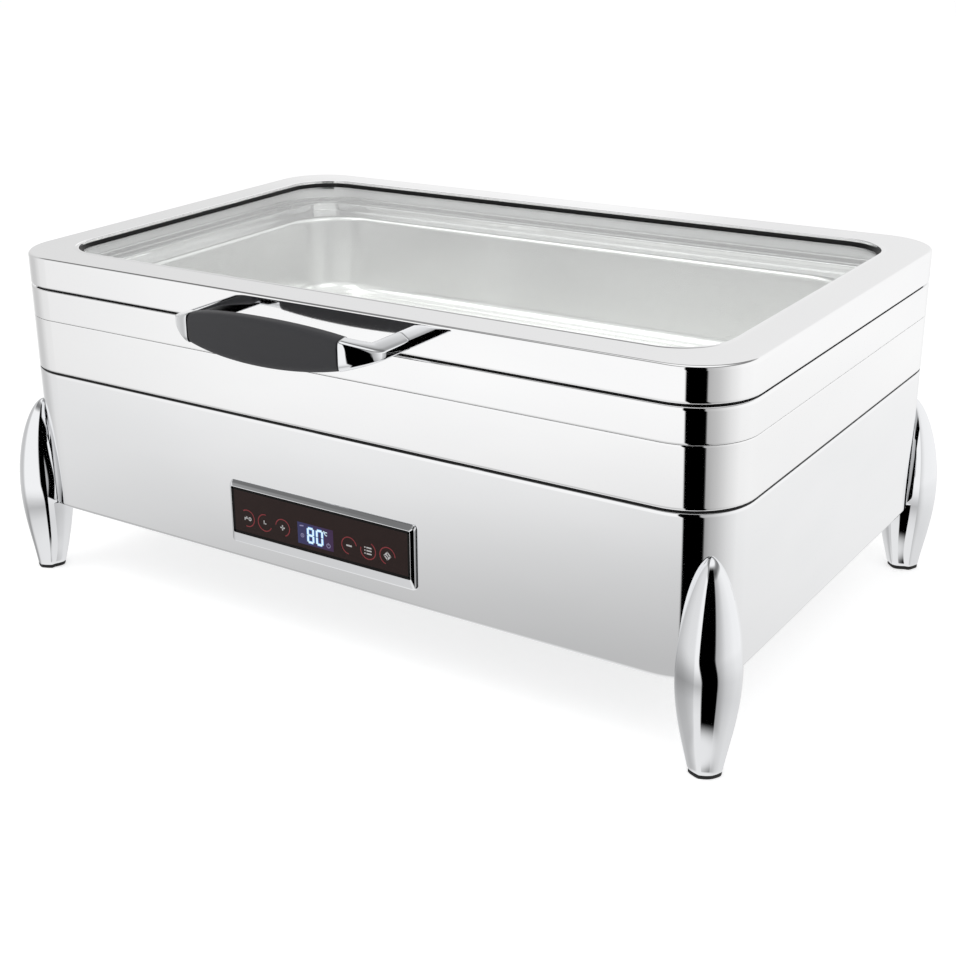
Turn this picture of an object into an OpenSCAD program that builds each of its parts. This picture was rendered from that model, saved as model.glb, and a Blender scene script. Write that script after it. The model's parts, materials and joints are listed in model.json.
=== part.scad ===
// Electric chafing dish: a full-size food pan in a heated water pan, on a steel housing with four chrome legs,
// under a hinged steel lid with a flat glass window. X runs to the right, -Y is the front and Z is up.

/* [Food pan] */
// Width of the food pan over its rim
pan_w = 530; // [500:1:545]
// Depth of the food pan over its rim, front to back
pan_d = 325; // [305:1:340]
// Depth of the food pan's well
pan_depth = 65; // [45:1:78]
// Width of the food pan's rim
pan_rim = 13.5; // [12:0.5:16]
// Slope of the well's wall, from top to bottom
pan_draft = 9; // [4:0.5:14]
// Corner radius of the well
pan_r = 45; // [36:1:55]
// Corner radius of the rim
pan_rim_r = 22; // [16:1:26]

/* [Body] */
// Steel beyond the food pan at each end
side_margin = 30; // [26:0.5:38]
// Steel beyond the food pan at front and back
front_margin = 25.5; // [23:0.5:34]
// Corner radius of the body and the lid
corner_r = 43; // [40:1:50]
// Thickness of the steel sheet
sheet = 1.2; // [0.8:0.1:1.5]
// Height of the body's underside above the table
leg_gap = 59; // [50:1:70]
// Height of the lower housing
lower_h = 109.5; // [100:0.5:125]
// Height from the seam to the water pan's rim
upper_h = 63.8; // [58:0.2:70]
// Width of the flanges at the seam
seam_flange = 16; // [14:0.5:18]
// Width of the flange under the lower housing
base_flange = 34; // [30:1:38]
// Depth of the groove at the seam
groove = 2; // [1.5:0.1:3]
// Distance from the body's side to the bottom cover
cover_inset = 18; // [16:0.5:22]

/* [Water pan] */
// Depth of the water pan below its rim
water_depth = 100.5; // [94:0.5:106]
// Height of the water pan's outer skirt
skirt_h = 23; // [20:0.5:26]
// Depth of the step that the food pan's rim sits in
seat_depth = 8; // [6:0.5:10]
// Gap round the food pan's rim
seat_gap = 2; // [1.5:0.1:2.5]
// Gap between the food pan's well and the water pan
well_gap = 2.3; // [2:0.1:3]
// Gap round the skirt's sleeve and under its edge
skirt_gap = 0.4; // [0.3:0.1:0.8]

/* [Lid] */
// Shadow gap between the body and the lid
lid_gap = 1.5; // [1:0.1:2]
// Height of the lid
lid_h = 23; // [22:0.5:28]
// Width of the lid's frame round the glass
lid_margin = 29; // [28:0.5:32]
// Rounding of the lid's top edge
lid_edge_r = 4; // [3:0.5:6]
// Corner radius of the window
window_r = 36; // [30:1:40]
// Rounding of the window's edge
window_edge_r = 2.2; // [2:0.1:2.4]
// Height of the lip round the window
lip_h = 2.6; // [2.6:0.2:5]
// Thickness of the lid's glass
glass_t = 4; // [3:0.5:5]
// How far the glass reaches under the frame
glass_lap = 9; // [8:0.5:10]
// Thickness of the glass seal
seal_t = 0.8; // [0.6:0.1:1.2]
// Width of the hem at the lid's lower edge
hem_w = 9; // [8.5:0.5:9.5]
// Width of the lid's gasket
gasket_w = 3; // [2:0.5:4]
// Distance from the lid's side to the gasket
gasket_inset = 5; // [4:0.5:5]

/* [Handle] */
// Distance between the middles of the handle's arms
handle_span = 158; // [150:1:170]
// Length of the grip
grip_l = 122; // [114:1:124]
// Reach of the handle's ends in front of the lid
handle_out = 54; // [48:1:60]
// Forward bow of the grip
grip_bow = 5; // [3:0.5:8]
// Thickness of the grip, front to back
grip_t = 14.6; // [13:0.2:16]
// Height of the grip at its middle
grip_mid_h = 31.5; // [28:0.5:34]
// Height of the grip at its ends
grip_end_h = 18.3; // [17:0.1:20]
// Thickness of the handle's arms
arm_t = 12; // [11:0.5:13]
// Height of the handle's middle above the lid's lower edge
handle_up = 10.5; // [9:0.5:12]
// Radius of the rod inside the grip
rod_r = 2.5; // [2:0.1:3]
// Length of the rod inside each end of the handle
rod_seat = 8; // [6:0.5:8]

/* [Hinge] */
// Distance of each hinge from the middle
hinge_x = 170; // [140:1:190]
// Distance of the hinge axis behind the body
hinge_out = 9; // [9:0.1:10]
// Radius of the hinge knuckles
knuckle_r = 7.5; // [7:0.1:7.7]
// Radius of the hinge pin
pin_r = 3; // [2.5:0.1:3.5]
// Running clearance round the hinge pin
pin_fit = 0.05; // [0.03:0.01:0.09]
// Length of each hinge
hinge_l = 80; // [76:1:90]
// Length of the lid's knuckle
leaf_l = 37; // [33:1:40]
// Gap between the knuckles' ends
knuckle_gap = 0.5; // [0.3:0.1:0.8]
// Thickness of the hinge's plates
hinge_t = 3; // [2.5:0.1:3.5]
// Height of the hinge plate on the body
bracket_h = 40; // [38:1:42]
// Height of the hinge plate on the lid
leaf_h = 12.5; // [11:0.5:13]
// Length of the hydraulic damper
damper_l = 45; // [35:1:55]
// Radius of the hydraulic damper
damper_r = 8.4; // [8:0.1:8.5]

/* [Legs] */
// Height of a leg
leg_h = 141; // [130:1:150]
// Height of a leg's widest part
belly_z = 66; // [62:1:70]
// Radius of a leg's outer face at its widest part
belly_r = 22.2; // [21:0.1:24]
// Radius of a leg's inner face at its widest part
back_r = 25.8; // [25:0.1:27]
// Distance of the outer face's axis from the body's corner
leg_axis = 2.6; // [2:0.1:3.2]
// Distance of the inner face's axis from the body's corner
back_axis = 11; // [10:0.1:12]
// Height over which a leg's lower half would taper to a point
leg_taper = 85; // [83:1:92]
// Fullness of a leg's outline, 0.5 for an ellipse
leg_round = 0.6; // [0.5:0.02:0.7]
// Gap between a leg and the body
leg_fit = 0.1; // [0.05:0.01:0.2]
// Height of a foot pad
pad_h = 2.5; // [2:0.1:3.5]
// Radius of a foot pad
pad_r = 9; // [8:0.1:9.5]
// Radius of a foot pad's stem
stem_r = 4; // [3:0.1:5]
// Length of a foot pad's stem
stem_h = 6; // [5:0.5:8]

/* [Heater] */
// Distance from the water pan's side to the heater plate
heater_margin = 45; // [35:1:55]
// Thickness of the heater plate
heater_t = 5; // [4:0.5:6]
// Radius of the tubular element
element_r = 4; // [3.5:0.1:4.5]
// Distance between the element's runs
run_pitch = 50; // [44:1:52]
// Length of the element's runs
run_l = 300; // [260:2:310]
// Radius of the bend down to the element's ends
end_bend = 12; // [10:0.5:13]
// Length of the element's ends below the tray
end_drop = 8; // [6:0.5:12]
// Thickness of the element's clamps
clamp_t = 1.2; // [1:0.1:1.6]
// Width of a clamp
clamp_w = 14; // [12:0.5:18]
// Thickness of the insulation mat
mat_t = 3; // [2:0.5:4]
// Gap between the mat and the clamps
mat_gap = 1.5; // [1:0.1:2.5]
// Radius of the ceramic posts under the heater plate
post_r = 6; // [5:0.2:7]
// Gap between the water pan and the heater tray
tray_gap = 11; // [8:0.5:11.5]
// Radius of the hole for the temperature sensor
sensor_r = 5; // [4:0.2:7]
// Height of the temperature sensor's head
sensor_h = 6; // [5:0.5:8]
// Radius of the thermal cut-out
cutout_r = 10; // [8:0.5:14]
// Height of the thermal cut-out
cutout_h = 7; // [5:0.5:10]
// Height of the cut-out's tabs
tab_h = 7; // [5:0.5:9]
// Width of the cut-out's tabs
tab_w = 5; // [4:0.5:6.5]
// Thickness of the cut-out's tabs
tab_t = 1; // [0.6:0.1:1.5]

/* [Control panel] */
// Width of the panel's glass
panel_w = 154; // [150:1:160]
// Height of the panel's glass
panel_h = 35; // [32:0.5:38]
// Thickness of the panel's glass
panel_t = 3.6; // [3:0.1:3.8]
// Height of the panel's middle above the body's underside
panel_up = 39; // [36:0.5:44]
// How far the glass laps over the wall behind it
panel_lap = 3; // [2:0.5:4]
// Thickness of the bezel
bezel_t = 4; // [3.9:0.1:5]
// Width of the bezel beside the glass
bezel_side = 3; // [2.5:0.1:4]
// Height of the bezel above the glass
bezel_top = 4; // [3:0.1:5]
// Height of the bezel below the glass
bezel_chin = 8.5; // [6:0.5:10]
// Thickness of the bezel's outer edge
bezel_edge = 0.8; // [0.5:0.1:1.2]
// Width of the bezel's flat border round the glass
bezel_land = 0.6; // [0.4:0.1:1]
// Distance between the touch keys
key_pitch = 16; // [14:0.5:17]
// Distance from the display to the nearest key on the left
key_left = 29; // [26:0.5:30]
// Distance from the display to the nearest key on the right
key_right = 29; // [26:0.5:30]
// Sideways place of the display
display_x = -2.5; // [-4:0.5:4]
// Drop of the display and keys below the panel's middle
display_drop = 4.5; // [3:0.5:5]
// Width of the display
display_w = 31; // [28:1:34]
// Height of the display
display_h = 16; // [14:0.5:17]
// Radius of a touch key's spring contact
contact_r = 3.5; // [2.5:0.1:4]
// Depth of the box behind the panel
box_depth = 20; // [16:0.5:26]
// Wall of the box behind the panel
box_t = 2; // [1.5:0.1:2.5]
// Distance from the wall to the touch board
touch_back = 6; // [5:0.5:8]

/* [Electronics] */
// Sideways place of the power board and the mains inlet
board_x = -60; // [-80:1:-50]
// Place of the power board, front to back
board_y = 70; // [64:1:76]
// Width of the power board
board_w = 120; // [110:1:130]
// Depth of the power board
board_d = 80; // [76:1:84]
// Thickness of the circuit boards
board_t = 1.6; // [1.2:0.1:2]
// Height of the power board above the bottom cover
board_up = 10; // [8:0.5:12]
// Height of the mains inlet above the body's underside
inlet_up = 40; // [36:0.5:44]
// Width of the inlet's body
inlet_w = 27; // [26:0.5:29]
// Height of the inlet's body
inlet_h = 20; // [19:0.5:22]
// Depth of the inlet behind the wall
inlet_depth = 26; // [25:0.5:30]
// Depth of the inlet's socket
socket_depth = 20; // [19:0.5:21]
// Distance between the inlet's screws
inlet_screws_l = 40; // [38:0.5:44]
// Thickness of the inlet's flange
inlet_flange = 2.5; // [2:0.1:3]
// Radius of a wire
wire_r = 1.5; // [1.2:0.1:1.8]
// Length of the vent slots
vent_l = 40; // [30:1:50]
// Width of the vent slots
vent_w = 3; // [2:0.2:3.4]
// Distance between the vent slots
vent_pitch = 9; // [7:0.5:10]
// Distance from the mains inlet to the middle of the rear vents
rear_vent = 120; // [110:1:130]
// Sideways place of the vents in the bottom cover
cover_vent = 120; // [100:1:130]
// Straight length of a wire where it leaves a tab or a terminal
wire_lead = 8; // [5:0.5:10]
// Depth of a terminal block
block_d = 10; // [8:0.5:12]
// Height of a terminal block
block_h = 12; // [9:0.5:14]
// Height of the relay and the transformer
coil_h = 24; // [18:0.5:28]
// Radius of a capacitor
cap_r = 5; // [3.5:0.1:6]
// Height of a capacitor
cap_h = 19; // [12:0.5:24]
// Width of the inlet's blades
blade_w = 4; // [3.5:0.1:4.5]
// Thickness of the inlet's blades
blade_t = 2; // [1.5:0.1:2.4]
// Length of the inlet's blades in the socket
blade_l = 14; // [12:0.5:16]
// Length of the inlet's tabs behind its body
tab_l = 9; // [6:0.5:12]

/* [Fasteners] */
// Radius of the leg bolts and handle screws
bolt_r = 2.5; // [2:0.1:2.6]
// Length of the leg bolts in the leg
bolt_l = 14; // [10:0.5:18]
// Radius of the sheet screws
screw_r = 2; // [1.5:0.1:2.2]
// Radius of the small screws
small_r = 1.5; // [1.2:0.1:1.7]
// Gap round a screw's shank
hole_gap = 0.2; // [0.1:0.05:0.3]
// Gap round a push fit
push_gap = 0.1; // [0.05:0.01:0.2]

/* [Hidden] */
$fn = 96;
past = 1;
head_wide = 1.7;
head_tall = 1.1;
shank_over = 4;

body_w = pan_w + 2 * side_margin;
body_d = pan_d + 2 * front_margin;
front = -body_d / 2;
back = body_d / 2;
z_seam = leg_gap + lower_h;
z_shell = z_seam + sheet;
z_rim = z_shell + upper_h;
z_lid = z_rim + lid_gap;
z_top = z_lid + lid_h;

z_seat = z_rim - seat_depth;
seat_w = pan_w + 2 * seat_gap;
seat_d = pan_d + 2 * seat_gap;
seat_r = pan_rim_r + seat_gap;
well_w = pan_w - 2 * pan_rim;
well_d = pan_d - 2 * pan_rim;
basin_w = well_w + 2 * (sheet + well_gap);
basin_d = well_d + 2 * (sheet + well_gap);
basin_r = pan_r + sheet + well_gap;
z_water = z_rim - water_depth;
z_skirt = z_rim - skirt_h;

heater_w = basin_w - 2 * heater_margin;
heater_d = basin_d - 2 * heater_margin;
heater_skin = 1;
heater_bite = heater_t - 2 * heater_skin;
z_plate = z_water - heater_t;
z_element = z_plate - element_r;
z_clamp = z_element - element_r - clamp_t;
z_mat = z_clamp - mat_gap - mat_t;
z_tray = z_mat - sheet;
tray_w = basin_w + 2 * (sheet + tray_gap);
tray_d = basin_d + 2 * (sheet + tray_gap);
tray_r = basin_r - tray_gap;
element_x = run_l / 2 + end_bend;
element_y = 1.5 * run_pitch;
z_end = z_tray - end_drop;
end_room = 2;
sensor_gap = 1;
end_hole_r = element_r + end_room;
post_x = heater_w / 2 - 2 * post_r;
post_y = heater_d / 2 - 2 * post_r;
clamp_x = run_l / 3;
clamp_boss_r = 5.2;
clamp_y = element_y + element_r + clamp_boss_r + push_gap;

window_w = body_w - 2 * lid_margin;
window_d = body_d - 2 * lid_margin;
z_lip = z_top - lip_h;
z_glass = z_lip - seal_t - glass_t;
retainer_z = z_glass - seal_t - sheet;
seal_back = 1.5;
seal_w = glass_lap + seal_back;
stud_r = 2.5;
stud_gap = 1.5;
stud_edge = 2;
stud_out = seal_w + stud_r + stud_gap;
retainer_w = stud_out + stud_r + stud_edge;
retainer_in = 2;

handle_z = z_lid + handle_up;
arm_x = handle_span / 2;
end_r = arm_x + arm_t / 2 - grip_l / 2;
almond_r = (pow(grip_l, 2) / 4 + pow((grip_mid_h - grip_end_h) / 2, 2)) / (grip_mid_h - grip_end_h);
bow_r = (pow(grip_l, 2) / 4 + pow(grip_bow, 2)) / (2 * grip_bow);
handle_reach = handle_out + grip_bow;
rod_skin = 1.2;
rod_out = handle_out - grip_t + grip_bow + rod_r + rod_skin;

axis_y = back + hinge_out;
axis_z = z_rim + lid_gap / 2;
bracket_over = 1;
leaf_room = 0.8;
bracket_screw_in = 12;
bracket_screw_up = 6;
z_bracket = axis_z - knuckle_r + bracket_over;
z_leaf = axis_z + knuckle_r + leaf_room;
bracket_screw_x = hinge_l / 2 - bracket_screw_in;
bracket_screw_z = z_bracket - bracket_h + bracket_screw_up;
bracket_screw_step = 10;
leaf_screw_z = z_leaf + leaf_h / 2;

z_panel = leg_gap + panel_up;
z_display = z_panel - display_drop;
panel_back = front + sheet;
board_room = 1;
prop_in = 10;
prop_r = 3;
touch_y = panel_back + touch_back;
box_w = panel_w + 2 * (box_t + board_room);
box_h = panel_h + 2 * (box_t + board_room);
ear_w = 12;
ear_t = 3;
stud_x = box_w / 2 + ear_w / 2;
nut_t = 3;
z_bezel = z_panel - panel_h / 2 - bezel_chin;
z_brow = z_panel + panel_h / 2 + bezel_top;
bezel_w = panel_w + 2 * bezel_side;

z_board = leg_gap + board_up;
z_parts = z_board + board_t;
post_in = 6;
z_inlet = leg_gap + inlet_up;
inlet_ear = 5;
inlet_wall = 1.7;
socket_w = inlet_w - 2 * inlet_wall;
socket_h = inlet_h - 2 * inlet_wall;
blade_x = 7;
earth_up = 4;
z_block = z_parts + block_h / 2;
mains_y = board_y + board_d / 2;
heater_block_x = board_x - board_w / 2;
signal_y = board_y - board_d / 2;
signal_x = 15;
heater_lead_y = 12;
mains_block_l = 30;
heater_block_l = 40;
signal_block_l = 50;
relay_x = 29;
relay_w = 22;
relay_d = 20;
coil_x = 12;
coil_w = 33;
coil_d = 28;
cap_x = 42;
board_screw_l = 5;
board_post_floor = 3;
earth_x = 30;
earth_y = 20;

foot_in = 1;
foot_x = (leg_axis + back_axis) / 2 - foot_in;
leg_bolt_in = 7;
leg_bolt_side = 9;

front_reach = body_d / 2 + handle_reach;
back_reach = body_d / 2 + hinge_out + damper_r;
body_y = (front_reach - back_reach) / 2;

corners = [[1, 1], [1, -1], [-1, 1], [-1, -1]];
seam_spots = [for (x = [-0.36, 0, 0.36], s = [-1, 1]) [x * body_w, s * (body_d / 2 - seam_flange * 0.6)]];
cover_spots = concat(
    [for (x = [-0.3, 0, 0.3], s = [-1, 1]) [x * body_w, s * (body_d / 2 - (cover_inset + base_flange) / 2)]],
    [for (s = [-1, 1]) [s * (body_w / 2 - (cover_inset + base_flange) / 2), 0]]);
retainer_spots = concat(
    [for (x = [-0.36, 0, 0.36], s = [-1, 1]) [x * window_w, s * (window_d / 2 + stud_out)]],
    [for (s = [-1, 1], y = [-0.28, 0.28]) [s * (window_w / 2 + stud_out), y * window_d]]);
key_spots = concat([for (k = [0:2]) display_x - key_left - k * key_pitch],
    [for (k = [0:2]) display_x + key_right + k * key_pitch]);

// Rounded rectangle about the origin
module rounded(w, d, r) {
    square([w - 2 * r, d], center = true);
    square([w, d - 2 * r], center = true);
    for (x = [-1, 1], y = [-1, 1]) {
        translate([x * (w / 2 - r), y * (d / 2 - r)]) circle(r);
    }
}

// Rounded plate that stands on the level z
module plate(w, d, r, z, t) {
    translate([0, 0, z]) linear_extrude(t) rounded(w, d, r);
}

// Rounded plate with a rounded opening
module frame_plate(w, d, r, open_w, open_d, open_r, z, t) {
    translate([0, 0, z]) linear_extrude(t) difference() {
        rounded(w, d, r);
        rounded(open_w, open_d, open_r);
    }
}

// Upright wall inside a rounded outline
module band(w, d, r, t, z, h) {
    frame_plate(w, d, r, w - 2 * t, d - 2 * t, r - t, z, h);
}

// Carries a profile round a rounded outline: its x points outward from the outline and its y is the height
module ring(w, d, r) {
    for (k = [0:3]) {
        across = k % 2 == 0 ? w : d;
        along = k % 2 == 0 ? d : w;
        rotate([0, 0, 90 * k]) translate([across / 2 - r, along / 2 - r, 0]) {
            rotate_extrude(angle = 90) translate([r, 0]) children();
            rotate([90, 0, 0]) linear_extrude(along - 2 * r) translate([r, 0]) children();
        }
    }
}

// Quarter of a bent sheet in the first quadrant
module bend(r, t) {
    intersection() {
        difference() {
            circle(r);
            circle(r - t);
        }
        square(r);
    }
}

// Screw with its head above z = 0 and its shank below
module screw(r, l) {
    translate([0, 0, -l]) cylinder(r = r, h = l + head_tall * r / 2);
    cylinder(r = head_wide * r, h = head_tall * r);
}

// Puts a part at one corner: x points outward along the diagonal from the body's rounded corner
module at_corner(sx, sy) {
    mirror([sx < 0 ? 1 : 0, 0, 0]) mirror([0, sy < 0 ? 1 : 0, 0])
        translate([body_w / 2 - corner_r, body_d / 2 - corner_r, 0]) rotate([0, 0, 45])
            translate([corner_r, 0, 0]) children();
}

function unit(v) = v / norm(v);

// Slides a ring of points along a direction, on to the plane through a point
function slid(ring, along, at, normal) = [for (q = ring) q + along * ((at - q) * normal) / (along * normal)];

// Rings of a tube at each point of its route from number i on, mitred at the bends
function tube_rings(route, i, ring) = i == len(route) ? [] :
    let (along = unit(route[i] - route[i - 1]),
        normal = i == len(route) - 1 ? along : unit(along + unit(route[i + 1] - route[i])),
        next = slid(ring, along, route[i], normal))
    concat([next], tube_rings(route, i + 1, next));

// Wire of a given radius along a route
module wire(route, r) {
    sides = 12;
    along = unit(route[1] - route[0]);
    u = unit(cross(along, abs(along.z) < 0.9 ? [0, 0, 1] : [1, 0, 0]));
    v = cross(along, u);
    first = [for (k = [0:sides - 1]) route[0] + r * (cos(360 * k / sides) * u + sin(360 * k / sides) * v)];
    rings = concat([first], tube_rings(route, 1, first));
    last = len(rings) - 1;
    walls = [for (i = [0:last - 1], k = [0:sides - 1]) let (n = (k + 1) % sides)
        [i * sides + k, i * sides + n, (i + 1) * sides + n, (i + 1) * sides + k]];
    ends = [[for (k = [sides - 1:-1:0]) k], [for (k = [0:sides - 1]) last * sides + k]];
    polyhedron([for (ring = rings) for (q = ring) q], concat(walls, ends));
}

// Block given by its low and high corners
module block(low, high) {
    translate(low) cube(high - low);
}

// Screw holes at a list of places, upward through the level z
module holes(spots, r, z, h) {
    for (p = spots) {
        translate([p.x, p.y, z - past]) cylinder(r = r + hole_gap, h = h + 2 * past);
    }
}

module lower_housing() {
    color("gainsboro") difference() {
        union() {
            band(body_w, body_d, corner_r, sheet, leg_gap, lower_h);
            frame_plate(body_w, body_d, corner_r, body_w - 2 * base_flange, body_d - 2 * base_flange,
                corner_r - base_flange + past, leg_gap, sheet);
            frame_plate(body_w, body_d, corner_r, body_w - 2 * seam_flange, body_d - 2 * seam_flange,
                corner_r - seam_flange, z_seam - sheet, sheet);
            for (x = [-stud_x, stud_x]) {
                translate([x, front + sheet / 2, z_panel]) rotate([-90, 0, 0])
                    cylinder(r = screw_r, h = sheet / 2 + ear_t + nut_t + past);
            }
        }
        block([-panel_w / 2 + panel_lap, front - past, z_panel - panel_h / 2 + panel_lap],
            [panel_w / 2 - panel_lap, panel_back + past, z_panel + panel_h / 2 - panel_lap]);
        block([board_x - inlet_w / 2 - push_gap, back - sheet - past, z_inlet - inlet_h / 2 - push_gap],
            [board_x + inlet_w / 2 + push_gap, back + past, z_inlet + inlet_h / 2 + push_gap]);
        for (s = [-1, 1]) {
            translate([board_x + s * inlet_screws_l / 2, back + past, z_inlet]) rotate([90, 0, 0])
                cylinder(r = small_r + hole_gap, h = sheet + 2 * past);
        }
        for (k = [-5:5]) {
            x = board_x + rear_vent + k * vent_pitch;
            block([x - vent_w / 2, back - sheet - past, z_inlet - vent_l / 2],
                [x + vent_w / 2, back + past, z_inlet + vent_l / 2]);
        }
        holes(seam_spots, screw_r, z_seam - sheet, sheet);
        holes(cover_spots, screw_r, leg_gap, sheet);
        for (c = corners) {
            at_corner(c.x, c.y) holes(leg_bolt_spots(), bolt_r, leg_gap, sheet);
        }
    }
}

module bottom_cover() {
    color("silver") difference() {
        plate(body_w - 2 * cover_inset, body_d - 2 * cover_inset, corner_r, leg_gap - sheet, sheet);
        holes(cover_spots, screw_r, leg_gap - sheet, sheet);
        for (k = [-6:6], s = [-1, 1]) {
            x = cover_vent + k * vent_pitch;
            block([x - vent_w / 2, s * vent_l - vent_l / 2, leg_gap - sheet - past],
                [x + vent_w / 2, s * vent_l + vent_l / 2, leg_gap + past]);
        }
    }
}

module cover_screws() {
    color("dimgray") for (p = cover_spots) {
        translate([p.x, p.y, leg_gap - sheet]) rotate([180, 0, 0]) screw(screw_r, 2 * sheet + shank_over);
    }
}

function leg_bolt_spots() = [for (s = [-1, 1]) [-leg_bolt_in, s * leg_bolt_side]];

// Share of a leg's full radius at the height z
function leg_share(z) = z < belly_z
    ? pow(1 - pow((belly_z - z) / leg_taper, 2), leg_round)
    : pow(1 - pow((z - belly_z) / (leg_h - belly_z), 2), leg_round);

// Solid of revolution that follows a leg's outline
module spindle(r, closed_top) {
    steps = 12;
    low = [for (i = [0:steps]) pad_h + (belly_z - pad_h) * i / steps];
    high = [for (i = [1:steps - 1]) belly_z + (leg_h - belly_z) * sin(90 * i / steps)];
    outline = concat([[0, pad_h]], [for (z = low) [r * leg_share(z), z]],
        closed_top ? [for (z = high) [r * leg_share(z), z]] : [[r, leg_h]], [[0, leg_h]]);
    rotate_extrude() polygon(outline);
}

module leg(sx, sy) {
    color("whitesmoke") difference() {
        at_corner(sx, sy) intersection() {
            translate([leg_axis, 0, 0]) spindle(belly_r, true);
            translate([back_axis, 0, 0]) spindle(back_r, false);
        }
        plate(body_w + 2 * leg_fit, body_d + 2 * leg_fit, corner_r + leg_fit, leg_gap, leg_h);
        at_corner(sx, sy) {
            for (p = leg_bolt_spots()) {
                translate([p.x, p.y, leg_gap - bolt_l - past])
                    cylinder(r = bolt_r + push_gap, h = bolt_l + 2 * past);
            }
            translate([foot_x, 0, 0]) cylinder(r = stem_r + push_gap, h = pad_h + stem_h + past);
        }
    }
}

module leg_front_left() {
    leg(-1, -1);
}

module leg_front_right() {
    leg(1, -1);
}

module leg_rear_left() {
    leg(-1, 1);
}

module leg_rear_right() {
    leg(1, 1);
}

module foot_pads() {
    color("black") for (c = corners) {
        at_corner(c.x, c.y) translate([foot_x, 0, 0]) {
            cylinder(r = pad_r, h = pad_h);
            cylinder(r = stem_r, h = pad_h + stem_h);
        }
    }
}

module leg_bolts() {
    color("dimgray") for (c = corners, p = leg_bolt_spots()) {
        at_corner(c.x, c.y) translate([p.x, p.y, leg_gap + sheet]) screw(bolt_r, sheet + bolt_l);
    }
}

module upper_shell() {
    sleeve_in = sheet + skirt_gap;
    z_step = z_skirt - skirt_gap;
    color("whitesmoke") difference() {
        union() {
            frame_plate(body_w, body_d, corner_r, body_w - 2 * seam_flange, body_d - 2 * seam_flange,
                corner_r - seam_flange, z_shell, sheet);
            band(body_w, body_d, corner_r, sheet, z_shell, z_step - z_shell);
            band(body_w, body_d, corner_r, sleeve_in + sheet, z_step - sheet, sheet);
            band(body_w - 2 * sleeve_in, body_d - 2 * sleeve_in, corner_r - sleeve_in, sheet, z_step - sheet,
                z_rim - z_step);
        }
        holes(seam_spots, screw_r, z_shell, sheet);
        for (s = [-1, 1], p = bracket_spots()) {
            translate([s * (hinge_x + p.x), back + past, p.y]) rotate([90, 0, 0])
                cylinder(r = screw_r + hole_gap, h = sheet + 2 * past);
        }
    }
}

module heater_tray() {
    color("silver") difference() {
        union() {
            frame_plate(body_w - 2 * groove, body_d - 2 * groove, corner_r - groove, tray_w, tray_d, tray_r,
                z_seam, sheet);
            band(tray_w + 2 * sheet, tray_d + 2 * sheet, tray_r + sheet, sheet, z_tray, z_shell - z_tray);
            plate(tray_w + 2 * sheet, tray_d + 2 * sheet, tray_r + sheet, z_tray, sheet);
        }
        holes(seam_spots, screw_r, z_seam, sheet);
        heater_openings(z_tray, sheet);
    }
}

module seam_screws() {
    color("dimgray") for (p = seam_spots) {
        translate([p.x, p.y, z_shell + sheet]) screw(screw_r, 3 * sheet + shank_over);
    }
}

module water_pan() {
    color("lightgray") {
        band(body_w, body_d, corner_r, sheet, z_skirt, skirt_h);
        frame_plate(body_w, body_d, corner_r, seat_w, seat_d, seat_r, z_rim - sheet, sheet);
        band(seat_w + 2 * sheet, seat_d + 2 * sheet, seat_r + sheet, sheet, z_seat - sheet, seat_depth + sheet);
        frame_plate(seat_w + 2 * sheet, seat_d + 2 * sheet, seat_r + sheet, basin_w, basin_d, basin_r,
            z_seat - sheet, sheet);
        band(basin_w + 2 * sheet, basin_d + 2 * sheet, basin_r + sheet, sheet, z_water, z_seat - z_water);
        plate(basin_w + 2 * sheet, basin_d + 2 * sheet, basin_r + sheet, z_water, sheet);
    }
}

module food_pan() {
    z_well = z_seat + sheet - pan_depth;
    color("gainsboro") {
        frame_plate(pan_w, pan_d, pan_rim_r, well_w, well_d, pan_r, z_seat, sheet);
        ring(well_w, well_d, pan_r) polygon([[0, z_seat + sheet], [sheet, z_seat + sheet], [sheet, z_seat],
            [sheet - pan_draft, z_well], [-pan_draft, z_well]]);
        plate(well_w - 2 * pan_draft + 2 * sheet, well_d - 2 * pan_draft + 2 * sheet, pan_r - pan_draft + sheet,
            z_well - sheet, sheet);
    }
}

// Holes for the posts' screws, the element's ends and the sensor's wire
module heater_openings(z, h) {
    holes(post_spots(), screw_r, z, h);
    for (s = [-1, 1]) {
        translate([-element_x, s * element_y, z - past]) cylinder(r = end_hole_r, h = h + 2 * past);
    }
    translate([0, 0, z - past]) cylinder(r = sensor_r, h = h + 2 * past);
}

function post_spots() = [for (c = corners) [c.x * post_x, c.y * post_y]];

function clamp_spots() = [for (s = [-1, 1], t = [-1, 1]) [s * clamp_x, t * clamp_y]];

module heater_plate() {
    color("silver") difference() {
        plate(heater_w, heater_d, 2 * post_r, z_plate, heater_t);
        for (p = concat(post_spots(), clamp_spots())) {
            translate([p.x, p.y, z_plate - past])
                cylinder(r = screw_r + push_gap, h = heater_t - heater_skin + past);
        }
    }
}

module heating_element() {
    color("dimgray") translate([0, 0, z_element]) {
        for (k = [0:3]) {
            translate([-run_l / 2, (k - 1.5) * run_pitch, 0]) rotate([0, 90, 0])
                cylinder(r = element_r, h = run_l);
        }
        for (k = [0:2]) {
            turn = k % 2 == 0 ? 1 : -1;
            translate([turn * run_l / 2, (k - 1) * run_pitch, 0]) rotate([0, 0, -90 * turn])
                rotate_extrude(angle = 180) translate([run_pitch / 2, 0]) circle(element_r);
        }
        for (s = [-1, 1]) {
            translate([-run_l / 2, s * element_y, -end_bend]) {
                rotate([90, 0, 0]) rotate([0, 0, 90]) rotate_extrude(angle = 90)
                    translate([end_bend, 0]) circle(element_r);
                translate([-end_bend, 0, z_end - z_element + end_bend])
                    cylinder(r = element_r, h = z_element - end_bend - z_end);
            }
        }
    }
}

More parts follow.
